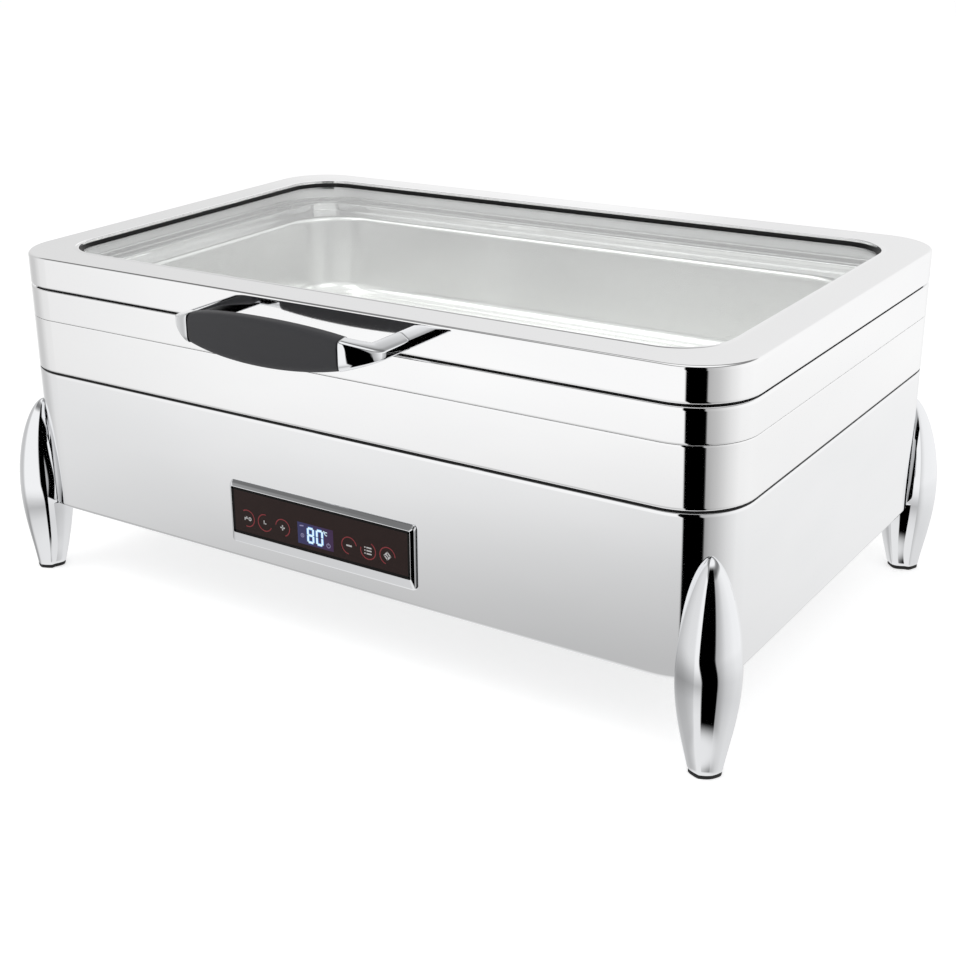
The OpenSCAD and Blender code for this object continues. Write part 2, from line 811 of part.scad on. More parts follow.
module element_clamps() {
    color("silver") for (s = [-1, 1]) {
        difference() {
            union() {
                block([s * clamp_x - clamp_w / 2, -clamp_y - element_r, z_clamp],
                    [s * clamp_x + clamp_w / 2, clamp_y + element_r, z_clamp + clamp_t]);
                for (t = [-1, 1]) {
                    translate([s * clamp_x, t * clamp_y, z_clamp])
                        cylinder(r = clamp_boss_r, h = z_plate - z_clamp);
                }
            }
            for (t = [-1, 1]) {
                translate([s * clamp_x, t * clamp_y, z_clamp - past])
                    cylinder(r = screw_r + hole_gap, h = z_plate - z_clamp + 2 * past);
            }
        }
    }
}

module heater_posts() {
    color("white") difference() {
        for (p = post_spots()) {
            translate([p.x, p.y, z_mat]) cylinder(r = post_r, h = z_plate - z_mat);
        }
        holes(post_spots(), screw_r, z_mat, z_plate - z_mat);
    }
}

module heater_screws() {
    color("dimgray") {
        for (p = post_spots()) {
            translate([p.x, p.y, z_tray]) rotate([180, 0, 0]) screw(screw_r, heater_bite + z_plate - z_tray);
        }
        for (p = clamp_spots()) {
            translate([p.x, p.y, z_clamp]) rotate([180, 0, 0]) screw(screw_r, heater_bite + z_plate - z_clamp);
        }
    }
}

module insulation_mat() {
    color("beige") difference() {
        plate(heater_w, heater_d, 2 * post_r, z_mat, mat_t);
        heater_openings(z_mat, mat_t);
        holes(post_spots(), post_r, z_mat, mat_t);
        holes(clamp_spots(), head_wide * screw_r, z_mat, mat_t);
    }
}

module temperature_sensor() {
    color("gold") translate([0, 0, z_plate - sensor_h]) {
        cylinder(r = sensor_r - sensor_gap, h = sensor_h);
        translate([0, 0, -sensor_h]) cylinder(r = sensor_r / 2, h = sensor_h + past);
    }
}

module thermal_cutout() {
    color("ivory") translate([-element_x, 0, z_tray - cutout_h]) {
        cylinder(r = cutout_r, h = cutout_h);
        for (s = [-1, 1]) {
            block([-tab_w / 2, s * cutout_r / 2 - tab_t / 2, -tab_h],
                [tab_w / 2, s * cutout_r / 2 + tab_t / 2, past]);
        }
    }
}

function board_spots() = [for (c = corners)
    [board_x + c.x * (board_w / 2 - post_in), board_y + c.y * (board_d / 2 - post_in)]];

module power_board() {
    color("seagreen") difference() {
        block([board_x - board_w / 2, board_y - board_d / 2, z_board],
            [board_x + board_w / 2, board_y + board_d / 2, z_parts]);
        holes(board_spots(), small_r, z_board, board_t);
    }
}

// Terminal block, relay or transformer on the power board, by its middle and its size
module on_board(x, y, w, d, h) {
    translate([x - w / 2, y - d / 2, z_parts]) cube([w, d, h]);
}

module board_components() {
    color("dimgray") {
        on_board(board_x, mains_y - block_d / 2, mains_block_l, block_d, block_h);
        on_board(heater_block_x + block_d / 2, board_y, block_d, heater_block_l, block_h);
        on_board(board_x, signal_y + block_d / 2, signal_block_l, block_d, block_h);
        on_board(board_x - relay_x, board_y, relay_w, relay_d, coil_h);
        on_board(board_x + coil_x, board_y, coil_w, coil_d, coil_h);
        for (k = [-1:1]) {
            translate([board_x + cap_x, board_y + k * 2.8 * cap_r, z_parts]) cylinder(r = cap_r, h = cap_h);
        }
    }
}

module board_posts() {
    color("goldenrod") difference() {
        for (p = board_spots()) {
            translate([p.x, p.y, leg_gap]) cylinder(r = 2 * small_r, h = board_up);
        }
        holes(board_spots(), small_r, leg_gap + board_post_floor, board_up);
    }
}

module board_screws() {
    color("dimgray") for (p = board_spots()) {
        translate([p.x, p.y, z_parts]) screw(small_r, board_t + board_screw_l);
    }
}

module mains_inlet() {
    ear_x = inlet_screws_l / 2 + inlet_ear;
    ear_z = inlet_h / 2 + inlet_wall;
    mouth = back + inlet_flange;
    color("dimgray") difference() {
        union() {
            block([board_x - inlet_w / 2, back - inlet_depth, z_inlet - inlet_h / 2],
                [board_x + inlet_w / 2, mouth, z_inlet + inlet_h / 2]);
            block([board_x - ear_x, back, z_inlet - ear_z], [board_x + ear_x, mouth, z_inlet + ear_z]);
        }
        block([board_x - socket_w / 2, mouth - socket_depth, z_inlet - socket_h / 2],
            [board_x + socket_w / 2, mouth + past, z_inlet + socket_h / 2]);
        for (s = [-1, 1]) {
            translate([board_x + s * inlet_screws_l / 2, mouth + past, z_inlet]) rotate([90, 0, 0])
                cylinder(r = small_r + hole_gap, h = inlet_flange + 2 * past);
        }
        blades(push_gap);
    }
}

function blade_spots() = [[-blade_x, 0], [blade_x, 0], [0, earth_up]];

// The inlet's three blades, larger by a gap where they cut their slots
module blades(gap) {
    root = back + inlet_flange - socket_depth;
    for (p = blade_spots()) {
        x = board_x + p.x;
        z = z_inlet + p.y;
        block([x - blade_t / 2 - gap, back - inlet_depth - tab_l, z - blade_w / 2 - gap],
            [x + blade_t / 2 + gap, root + blade_l, z + blade_w / 2 + gap]);
    }
}

module inlet_blades() {
    color("gold") blades(0);
}

module inlet_screws() {
    color("dimgray") for (s = [-1, 1]) {
        translate([board_x + s * inlet_screws_l / 2, back + inlet_flange, z_inlet]) rotate([-90, 0, 0])
            screw(small_r, inlet_flange + sheet + shank_over);
    }
}

module mains_wires() {
    y_tab = back - inlet_depth - tab_l;
    color("brown") for (s = [-1, 1]) {
        x = board_x + s * blade_x;
        wire([[x, y_tab, z_inlet], [x, y_tab - wire_lead, z_inlet], [x, mains_y + wire_lead, z_block],
            [x, mains_y, z_block]], wire_r);
    }
    z_earth = z_inlet + earth_up;
    y_earth = mains_y + earth_y;
    color("green") wire([[board_x, y_tab, z_earth], [board_x, y_tab - wire_lead, z_earth],
        [board_x + earth_x, y_earth, z_inlet], [board_x + earth_x, y_earth, leg_gap]], wire_r);
}

module heater_wires() {
    z_tab = z_tray - cutout_h - tab_h / 2;
    tab_y = cutout_r / 2 + tab_t / 2;
    x_lead = heater_block_x - wire_lead;
    y_far = board_y + heater_lead_y;
    y_near = board_y - heater_lead_y;
    color("firebrick") {
        wire([[-element_x, element_y, z_end], [-element_x, element_y, z_end - wire_lead],
            [x_lead, y_far, z_block], [heater_block_x, y_far, z_block]], wire_r);
        wire([[-element_x, -element_y, z_end], [-element_x, -element_y, z_end - wire_lead],
            [-element_x, -tab_y - wire_lead, z_tab], [-element_x, -tab_y, z_tab]], wire_r);
        wire([[-element_x, tab_y, z_tab], [-element_x, tab_y + wire_lead, z_tab],
            [x_lead, y_near, z_block], [heater_block_x, y_near, z_block]], wire_r);
    }
}

module sensor_wire() {
    z_start = z_plate - 2 * sensor_h;
    color("white") wire([[0, 0, z_start], [0, 0, z_tray - wire_lead],
        [board_x - signal_x, signal_y - wire_lead, z_block], [board_x - signal_x, signal_y, z_block]], wire_r);
}

module panel_cable() {
    y_box = panel_back + box_depth;
    x = board_x + signal_x;
    color("gray") wire([[x, touch_y + board_t, z_panel], [x, y_box + wire_lead, z_panel],
        [x, signal_y - wire_lead, z_block], [x, signal_y, z_block]], wire_r);
}

module panel_bezel() {
    edge = front - bezel_edge;
    face = front - bezel_t;
    lip = bezel_land + push_gap;
    color("dimgray") difference() {
        intersection() {
            rotate([90, 0, 90]) linear_extrude(bezel_w, center = true)
                polygon([[front, z_bezel], [front, z_brow], [edge, z_brow], [face, z_panel + panel_h / 2 + lip],
                    [face, z_panel - panel_h / 2 - lip], [edge, z_bezel]]);
            translate([0, 0, z_bezel]) linear_extrude(z_brow - z_bezel)
                polygon([[-bezel_w / 2, front], [bezel_w / 2, front], [bezel_w / 2, edge],
                    [panel_w / 2 + lip, face], [-panel_w / 2 - lip, face], [-bezel_w / 2, edge]]);
        }
        block([-panel_w / 2 - push_gap, face - past, z_panel - panel_h / 2 - push_gap],
            [panel_w / 2 + push_gap, front + past, z_panel + panel_h / 2 + push_gap]);
    }
}

module panel_glass() {
    color("black") block([-panel_w / 2, front - panel_t, z_panel - panel_h / 2],
        [panel_w / 2, front, z_panel + panel_h / 2]);
}

module display_module() {
    color("midnightblue") block([display_x - display_w / 2, front, z_display - display_h / 2],
        [display_x + display_w / 2, touch_y, z_display + display_h / 2]);
}

module touch_board() {
    color("seagreen") block([-panel_w / 2, touch_y, z_panel - panel_h / 2],
        [panel_w / 2, touch_y + board_t, z_panel + panel_h / 2]);
}

module touch_contacts() {
    color("goldenrod") for (x = key_spots) {
        translate([x, front, z_display]) rotate([-90, 0, 0]) cylinder(r = contact_r, h = touch_y - front);
    }
}

module panel_box() {
    back_y = panel_back + box_depth;
    color("dimgray") difference() {
        union() {
            difference() {
                block([-box_w / 2, panel_back, z_panel - box_h / 2], [box_w / 2, back_y, z_panel + box_h / 2]);
                block([-box_w / 2 + box_t, panel_back - past, z_panel - box_h / 2 + box_t],
                    [box_w / 2 - box_t, back_y - box_t, z_panel + box_h / 2 - box_t]);
            }
            for (x = [-1, 1], z = [-1, 1]) {
                translate([x * (panel_w / 2 - prop_in), touch_y + board_t, z_panel + z * panel_h / 4])
                    rotate([-90, 0, 0]) cylinder(r = prop_r, h = back_y - box_t / 2 - touch_y - board_t);
            }
            for (s = [-1, 1]) {
                block([s * stud_x - ear_w / 2, panel_back, z_panel - ear_w / 2],
                    [s * stud_x + ear_w / 2, panel_back + ear_t, z_panel + ear_w / 2]);
            }
        }
        for (s = [-1, 1]) {
            translate([s * stud_x, panel_back - past, z_panel]) rotate([-90, 0, 0])
                cylinder(r = screw_r + hole_gap, h = ear_t + 2 * past);
        }
        translate([board_x + signal_x, back_y - box_t - past, z_panel]) rotate([-90, 0, 0])
            cylinder(r = wire_r + hole_gap, h = box_t + 2 * past);
    }
}

module panel_nuts() {
    color("dimgray") for (s = [-1, 1]) {
        translate([s * stud_x, panel_back + ear_t, z_panel]) rotate([-90, 0, 0]) difference() {
            cylinder(r = 2 * screw_r, h = nut_t, $fn = 6);
            translate([0, 0, -past]) cylinder(r = screw_r + push_gap, h = nut_t + 2 * past);
        }
    }
}

function bracket_spots() = [for (x = [-1, 1], k = [0, 1])
    [x * bracket_screw_x, bracket_screw_z + k * bracket_screw_step]];

// Barrel along X between two places on the hinge axis
module barrel(x0, x1, r) {
    translate([x0, axis_y, axis_z]) rotate([0, 90, 0]) cylinder(r = r, h = x1 - x0);
}

module hinge_bracket(s) {
    half = hinge_l / 2;
    inner = leaf_l / 2 + knuckle_gap;
    color("silver") mirror([s < 0 ? 1 : 0, 0, 0]) translate([hinge_x, 0, 0]) difference() {
        union() {
            block([-half, back, z_bracket - bracket_h], [half, back + hinge_t, z_bracket]);
            for (x = [[-half, -inner], [inner, half]]) {
                barrel(x[0], x[1], knuckle_r);
                block([x[0], back, z_bracket - past], [x[1], axis_y, axis_z]);
            }
        }
        barrel(-half - past, half + past, pin_r + pin_fit);
        for (p = bracket_spots()) {
            translate([p.x, back - past, p.y]) rotate([-90, 0, 0])
                cylinder(r = screw_r + hole_gap, h = hinge_t + 2 * past);
        }
    }
}

module hinge_bracket_left() {
    hinge_bracket(-1);
}

module hinge_bracket_right() {
    hinge_bracket(1);
}

module hinge_pins() {
    color("gray") for (s = [0, 1]) {
        mirror([s, 0, 0]) translate([hinge_x, 0, 0]) {
            barrel(-hinge_l / 2, hinge_l / 2, pin_r);
            barrel(-hinge_l / 2 - pin_r / 2, -hinge_l / 2, 1.5 * pin_r);
        }
    }
}

module hinge_dampers() {
    color("dimgray") for (s = [0, 1]) {
        mirror([s, 0, 0]) translate([hinge_x, 0, 0]) barrel(hinge_l / 2, hinge_l / 2 + damper_l, damper_r);
    }
}

module bracket_screws() {
    color("dimgray") for (s = [-1, 1], p = bracket_spots()) {
        translate([s * (hinge_x + p.x), back + hinge_t, p.y]) rotate([-90, 0, 0])
            screw(screw_r, hinge_t + sheet + shank_over);
    }
}

function leaf_spots() = [for (s = [-1, 1], x = [-1, 1]) [s * hinge_x + x * bracket_screw_x, leaf_screw_z]];

module lid_frame() {
    color("whitesmoke") difference() {
        union() {
            ring(body_w, body_d, corner_r) {
                translate([-sheet, z_lid]) square([sheet, lid_h - lid_edge_r]);
                translate([-hem_w, z_lid]) square([hem_w, sheet]);
                translate([-lid_edge_r, z_top - lid_edge_r]) bend(lid_edge_r, sheet);
            }
            frame_plate(body_w - 2 * lid_edge_r, body_d - 2 * lid_edge_r, corner_r - lid_edge_r,
                window_w + 2 * window_edge_r, window_d + 2 * window_edge_r, window_r + window_edge_r,
                z_top - sheet, sheet);
            ring(window_w, window_d, window_r) {
                translate([window_edge_r, z_top - window_edge_r]) mirror([1, 0]) bend(window_edge_r, sheet);
                translate([0, z_lip]) square([sheet, lip_h - window_edge_r]);
            }
            for (p = retainer_spots) {
                translate([p.x, p.y, retainer_z + sheet])
                    cylinder(r = stud_r, h = z_top - sheet / 2 - retainer_z - sheet);
            }
        }
        for (p = retainer_spots) {
            translate([p.x, p.y, retainer_z]) cylinder(r = small_r + push_gap, h = lip_h + sheet);
        }
        for (p = leaf_spots()) {
            translate([p.x, back - sheet - past, p.y]) rotate([-90, 0, 0])
                cylinder(r = screw_r + hole_gap, h = sheet + 2 * past);
        }
        for (s = [-1, 1]) {
            translate([s * arm_x, front - past, handle_z]) rotate([-90, 0, 0])
                cylinder(r = bolt_r + hole_gap, h = sheet + 2 * past);
        }
    }
}

module lid_glass() {
    color("lightblue", 0.4) plate(window_w + 2 * glass_lap, window_d + 2 * glass_lap, window_r + glass_lap,
        z_glass, glass_t);
}

module glass_seal() {
    color("gray") ring(window_w, window_d, window_r) difference() {
        translate([0, z_glass - seal_t]) square([seal_w, glass_t + 2 * seal_t]);
        translate([-past, z_glass]) square([glass_lap + past, glass_t]);
    }
}

module glass_retainer() {
    z_foot = z_lid + 2 * sheet;
    color("silver") difference() {
        ring(window_w, window_d, window_r) {
            translate([-retainer_in, retainer_z]) square([retainer_w + retainer_in, sheet]);
            translate([retainer_w - sheet, z_foot]) square([sheet, retainer_z + sheet - z_foot]);
        }
        holes(retainer_spots, small_r, retainer_z, sheet);
    }
}

module retainer_screws() {
    color("dimgray") for (p = retainer_spots) {
        translate([p.x, p.y, retainer_z]) rotate([180, 0, 0]) screw(small_r, sheet + lip_h - past);
    }
}

module lid_gasket() {
    color("dimgray") ring(body_w, body_d, corner_r)
        translate([-gasket_inset - gasket_w, z_rim]) square([gasket_w, lid_gap]);
}

// Almond outline that the handle has from the front, as a solid along Y
module almond() {
    drop = almond_r - grip_mid_h / 2;
    translate([0, front + past, handle_z]) rotate([90, 0, 0]) linear_extrude(handle_reach + 2 * past)
        intersection() {
            translate([0, -drop]) circle(almond_r, $fn = 4 * $fn);
            translate([0, drop]) circle(almond_r, $fn = 4 * $fn);
        }
}

module handle_end(s) {
    half = grip_l / 2;
    corner_y = front - handle_out + end_r;
    low = handle_z - grip_mid_h / 2;
    color("whitesmoke") mirror([s < 0 ? 1 : 0, 0, 0]) difference() {
        intersection() {
            translate([0, 0, low]) linear_extrude(grip_mid_h) {
                translate([arm_x - arm_t / 2, corner_y]) square([arm_t, front - corner_y]);
                translate([half, corner_y]) mirror([0, 1]) bend(end_r, arm_t);
            }
            almond();
        }
        translate([half - past, front - rod_out, handle_z]) rotate([0, 90, 0])
            cylinder(r = rod_r + push_gap, h = rod_seat + past);
        translate([arm_x, front + past, handle_z]) rotate([90, 0, 0])
            cylinder(r = bolt_r + push_gap, h = bolt_l + 2 * past);
    }
}

module handle_end_left() {
    handle_end(-1);
}

module handle_end_right() {
    handle_end(1);
}

module handle_grip() {
    middle_y = front - handle_reach + bow_r;
    low = handle_z - grip_mid_h / 2;
    color("black") difference() {
        intersection() {
            translate([0, middle_y, low]) linear_extrude(grip_mid_h) difference() {
                circle(bow_r, $fn = 4 * $fn);
                circle(bow_r - grip_t, $fn = 4 * $fn);
            }
            block([-grip_l / 2, front - handle_reach - past, low - past],
                [grip_l / 2, front, low + grip_mid_h + past]);
            almond();
        }
        translate([-grip_l / 2 - past, front - rod_out, handle_z]) rotate([0, 90, 0])
            cylinder(r = rod_r + push_gap, h = grip_l + 2 * past);
    }
}

module handle_rod() {
    color("gray") translate([-grip_l / 2 - rod_seat, front - rod_out, handle_z]) rotate([0, 90, 0])
        cylinder(r = rod_r, h = grip_l + 2 * rod_seat);
}

module handle_screws() {
    color("dimgray") for (s = [-1, 1]) {
        translate([s * arm_x, front + sheet, handle_z]) rotate([-90, 0, 0]) screw(bolt_r, sheet + bolt_l);
    }
}

module hinge_leaf(s) {
    half = hinge_l / 2;
    color("silver") mirror([s < 0 ? 1 : 0, 0, 0]) translate([hinge_x, 0, 0]) difference() {
        union() {
            block([-half, back, z_leaf], [half, back + hinge_t, z_leaf + leaf_h]);
            barrel(-leaf_l / 2, leaf_l / 2, knuckle_r);
            block([-leaf_l / 2, back, axis_z + lid_gap], [leaf_l / 2, axis_y, z_leaf + past]);
        }
        barrel(-half - past, half + past, pin_r + pin_fit);
        for (x = [-1, 1]) {
            translate([x * bracket_screw_x, back - past, leaf_screw_z]) rotate([-90, 0, 0])
                cylinder(r = screw_r + hole_gap, h = hinge_t + 2 * past);
        }
    }
}

module hinge_leaf_left() {
    hinge_leaf(-1);
}

module hinge_leaf_right() {
    hinge_leaf(1);
}

module leaf_screws() {
    color("dimgray") for (p = leaf_spots()) {
        translate([p.x, back + hinge_t, p.y]) rotate([-90, 0, 0]) screw(screw_r, hinge_t + sheet + shank_over);
    }
}

// Sets the origin under the middle of the whole dish
module placed() {
    translate([0, body_y, 0]) children();
}

placed() lower_housing();
placed() bottom_cover();
placed() cover_screws();
placed() leg_front_left();
placed() leg_front_right();
placed() leg_rear_left();
placed() leg_rear_right();
placed() foot_pads();
placed() leg_bolts();
placed() upper_shell();
placed() heater_tray();
placed() seam_screws();
placed() water_pan();
placed() food_pan();
placed() heater_plate();
placed() heating_element();
placed() element_clamps();
placed() heater_posts();
placed() heater_screws();
placed() insulation_mat();
placed() temperature_sensor();
placed() thermal_cutout();
placed() power_board();
placed() board_components();
placed() board_posts();
placed() board_screws();
placed() mains_inlet();
placed() inlet_blades();
placed() inlet_screws();
placed() mains_wires();
placed() heater_wires();
placed() sensor_wire();
placed() panel_cable();
placed() panel_bezel();
placed() panel_glass();
placed() display_module();
placed() touch_board();
placed() touch_contacts();
placed() panel_box();
placed() panel_nuts();
placed() hinge_bracket_left();
placed() hinge_bracket_right();
placed() hinge_pins();
placed() hinge_dampers();
placed() bracket_screws();
placed() lid_frame();
placed() lid_glass();
placed() glass_seal();
placed() glass_retainer();
placed() retainer_screws();
placed() lid_gasket();
placed() handle_end_left();
placed() handle_end_right();
placed() handle_grip();
placed() handle_rod();
placed() handle_screws();
placed() hinge_leaf_left();
placed() hinge_leaf_right();
placed() leaf_screws();
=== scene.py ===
# %% [markdown]
# # Electric chafing dish
# A chafing dish keeps a pan warm at a buffet. This one is a double boiler with a lid: a thin electric
# plate heats a few litres of water, and the food pan hangs over that water. The engineering model
# has all the inner parts. This notebook dresses the parts that can be seen: it rebuilds the
# polished sheets as smooth surfaces, gives everything a finish, and sets up the studio.

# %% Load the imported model
import json
import math

import bmesh
import bpy
import numpy as np
from mathutils import Matrix, Vector

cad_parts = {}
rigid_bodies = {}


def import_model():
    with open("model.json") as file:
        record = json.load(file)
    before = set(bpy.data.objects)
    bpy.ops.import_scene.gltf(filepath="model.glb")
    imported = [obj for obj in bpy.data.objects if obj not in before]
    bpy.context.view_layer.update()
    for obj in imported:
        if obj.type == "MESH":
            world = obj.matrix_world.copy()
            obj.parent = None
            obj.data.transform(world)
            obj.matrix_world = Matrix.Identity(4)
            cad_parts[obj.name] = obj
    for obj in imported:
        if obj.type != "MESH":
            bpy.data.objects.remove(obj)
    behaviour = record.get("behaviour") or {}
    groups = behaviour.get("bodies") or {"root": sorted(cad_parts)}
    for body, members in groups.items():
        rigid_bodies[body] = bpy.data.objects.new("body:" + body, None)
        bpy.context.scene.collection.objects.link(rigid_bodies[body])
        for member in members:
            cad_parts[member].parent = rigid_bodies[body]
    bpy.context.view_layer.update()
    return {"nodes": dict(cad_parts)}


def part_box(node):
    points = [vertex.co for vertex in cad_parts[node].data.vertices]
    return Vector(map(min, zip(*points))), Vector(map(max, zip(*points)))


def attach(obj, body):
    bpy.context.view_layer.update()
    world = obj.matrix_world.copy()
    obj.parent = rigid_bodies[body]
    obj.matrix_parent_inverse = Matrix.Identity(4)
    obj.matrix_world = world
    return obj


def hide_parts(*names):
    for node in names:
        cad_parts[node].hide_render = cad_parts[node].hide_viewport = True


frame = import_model()

# %% [markdown]
# ## Measurements from the model
# All places are read from the engineering model, so that a dressed piece can't drift away from the
# part that it stands for. Only small things that the model leaves out, such as edge roundings and
# printed marks, have sizes of their own. Everything here is in millimetres.

# %% Read the main sizes
def span(node):
    """Lowest and highest corner of a CAD node, in millimetres."""
    return [1000 * np.array(corner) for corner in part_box(node)]


def mid(node, axis):
    """Middle of a CAD node along axis 0, 1 or 2, in millimetres."""
    low, high = span(node)
    return (low[axis] + high[axis]) / 2


(_, front, z_base), (east, back, z_seam) = span("lower_housing")
middle = (front + back) / 2
half_w, half_d = east, (back - front) / 2
z_shell, z_sleeve = span("upper_shell")[0][2], span("upper_shell")[1][2]
z_basin, z_rim = span("water_pan")[0][2], span("water_pan")[1][2]
z_lid, z_top = span("lid_frame")[0][2], span("lid_frame")[1][2]
z_glass, z_pane = span("lid_glass")[0][2], span("lid_glass")[1][2]
z_panel = mid("panel_glass", 2)

SHEET = z_rim - z_sleeve       # steel thickness
CORNER = 43.0                  # plan radius of the body's corners
GLASS_LAP = 9.0                # hidden margin of the lid glass
WINDOW_CORNER = 36.0
window_w = span("lid_glass")[1][0] - GLASS_LAP
window_d = (span("lid_glass")[1][1] - span("lid_glass")[0][1]) / 2 - GLASS_LAP
print("body half sizes", half_w, half_d, "lid", z_lid, z_top, "window half sizes", window_w, window_d)

# %% [markdown]
# ## Tools for shapes
# Nearly all of this dish is sheet metal that was drawn or folded round a rounded rectangle. So one
# function makes rounded rectangles, one rounds the corners of a cross-section, and one joins a
# stack of rings into a skin. Turned pieces such as feet and screws use a profile round an axis.

# %% Rings and skins
def quads(rows, cols, closed):
    """Faces of a grid whose columns wrap: each quad joins a point, its neighbour and the two above."""
    r, c = np.meshgrid(np.arange(rows if closed else rows - 1), np.arange(cols), indexing="ij")
    up, on = (r + 1) % rows * cols, (c + 1) % cols
    return np.stack([r * cols + c, r * cols + on, up + on, up + c], -1).reshape(-1, 4).tolist()


def skin(x, y, z, closed=False):
    """Points and faces of a grid of rings; an open stack gets a flat cap at each end."""
    rows, cols = x.shape
    faces = quads(rows, cols, closed)
    if not closed:
        faces += [list(range(cols))[::-1], list(range((rows - 1) * cols, rows * cols))]
    return np.stack([x, y, z], -1).reshape(-1, 3), faces


def ring(wide, deep, radius, arc=14, ease=1.5):
    """Rounded rectangles: corner centres at +-(wide - r), +-(deep - r), then r(cos t, sin t) round each.

    A support point `ease` beyond each end of an arc keeps the flat sides flat in the shading.
    """
    wide, deep, radius = (np.asarray(v, float)[:, None] for v in (wide, deep, radius))
    corner = np.repeat(np.arange(4), arc + 3)
    turn = (corner + np.tile(np.r_[0, np.linspace(0, 1, arc + 1), 1], 4)) * math.pi / 2
    shift = np.tile(np.r_[-ease, np.zeros(arc + 1), ease], 4)
    x = np.array([1, -1, -1, 1])[corner] * (wide - radius) + radius * np.cos(turn) - shift * np.sin(turn)
    y = np.array([1, 1, -1, -1])[corner] * (deep - radius) + radius * np.sin(turn) + shift * np.cos(turn)
    return x, y


print("points round a rounded rectangle:", ring([50], [30], [8])[0].shape[1])


# %% Profiles
def eased(rows, radii, closed=True, steps=6, support=1.2):
    """Profile with rounded corners: P + q(1 - sin t)u + q(1 - cos t)v for t from 0 to 90 degrees.

    u and v are unit steps from the corner P to its neighbours. Columns are half width, half depth,
    corner radius and height; extra rows just outside each arc keep the flats flat.
    """
    rows, q = np.asarray(rows, float), np.asarray(radii, float)[:, None]
    near, t = [], np.linspace(0, math.pi / 2, steps)[None, :, None]
    for side in (1, -1):
        leg = np.roll(rows, side, 0) - rows
        length = np.maximum(np.hypot(leg[:, 0], leg[:, 3]), 1e-6)[:, None]
        near.append((leg / length, q + 0.9 * np.clip(length / 2 - q, 0, support)))
    (u, before), (v, after) = near
    arc = rows[:, None] + q[:, None] * ((1 - np.sin(t)) * u[:, None] + (1 - np.cos(t)) * v[:, None])
    path = np.concatenate([(rows + before * u)[:, None], arc, (rows + after * v)[:, None]], 1)
    if closed:
        return path.reshape(-1, rows.shape[1])
    return np.vstack([rows[:1], path[1:-1].reshape(-1, rows.shape[1]), rows[-1:]])


def loft(rows, closed=True):
    """Skin through level rounded rectangles, one per row of a profile."""
    x, y = ring(rows[:, 0], rows[:, 1], rows[:, 2])
    return skin(x, y + middle, rows[:, 3:4] + 0 * x, closed)


print("rows for a rounded corner:", len(eased([[1, 1, 1, 0], [1, 1, 1, 9], [9, 9, 1, 9]], [0.1] * 3)) // 3)


# %% Turned shapes and copies
def turned(radius, height, hexed=0, sides=40):
    """Surface of revolution about Z; where hexed is 1 the circle becomes a hexagon, r cos 30 / cos t."""
    turn = np.arange(sides) * 2 * math.pi / sides
    six = math.cos(math.pi / 6) / np.cos((turn + math.pi / 6) % (math.pi / 3) - math.pi / 6)
    bend = 1 + np.asarray(hexed + 0 * np.asarray(radius))[:, None] * (six - 1)
    r = np.asarray(radius, float)[:, None] * bend
    return skin(r * np.cos(turn), r * np.sin(turn), np.asarray(height, float)[:, None] + 0 * r)


def joined(shapes):
    """Several shapes as one: all their points, and their faces counted on from the points before."""
    starts = np.cumsum([0] + [len(points) for points, _ in shapes]).tolist()
    return np.vstack([points for points, _ in shapes]), [
        [i + start for i in f] for start, (_, faces) in zip(starts, shapes) for f in faces]


def several(shape, places, axes="xyz"):
    """Copies of a shape at each place. axes says which local axis, with its sign, each world axis takes."""
    points, faces = shape
    pick = ["xyz".index(a.lower()) for a in axes]
    sign = np.array([1 if a.islower() else -1 for a in axes])
    points = points[:, pick] * sign
    if np.linalg.det(np.eye(3)[pick] * sign[:, None]) < 0:
        faces = [f[::-1] for f in faces]
    return joined([(points + np.asarray(place, float), faces) for place in places])


print("points of a small rod:", len(turned([2, 2], [0, 9])[0]))


# %% [markdown]
# ## Tools for finishes
# A finish is a small net of shader nodes. Nothing here is a picture: colour and roughness wander
# over a noise whose grain is given in millimetres, as it would be measured on the real surface.
# Even a polished sheet needs a little of that, because buffing never leaves an even gloss.

# %% Finish functions
def linear(code):
    """Linear colour of an sRGB hex code: ((c + 0.055) / 1.055) ^ 2.4, or c / 12.92 for the darkest."""
    c = np.array([int(code[i:i + 2], 16) / 255 for i in (1, 3, 5)])
    return (*np.where(c > 0.04045, ((c + 0.055) / 1.055) ** 2.4, c / 12.92), 1.0)


def add(tree, kind, inputs=None, **settings):
    """Adds a node; each input takes a value or another node's output."""
    made = tree.nodes.new(kind)
    for key, value in settings.items():
        setattr(made, key, value)
    for key, value in (inputs or {}).items():
        if isinstance(value, bpy.types.NodeSocket):
            tree.links.new(value, made.inputs[key])
        else:
            made.inputs[key].default_value = value
    return made


def mix(tree, share, first, second, **settings):
    """A colour between two others: the first where share is 0, the second where it is 1."""
    return add(tree, "ShaderNodeMix", {0: share, 6: first, 7: second}, data_type="RGBA", **settings).outputs[2]


def calculate(tree, operation, *values):
    """The result of one step of arithmetic on values or outputs."""
    return add(tree, "ShaderNodeMath", dict(enumerate(values)), operation=operation).outputs[0]


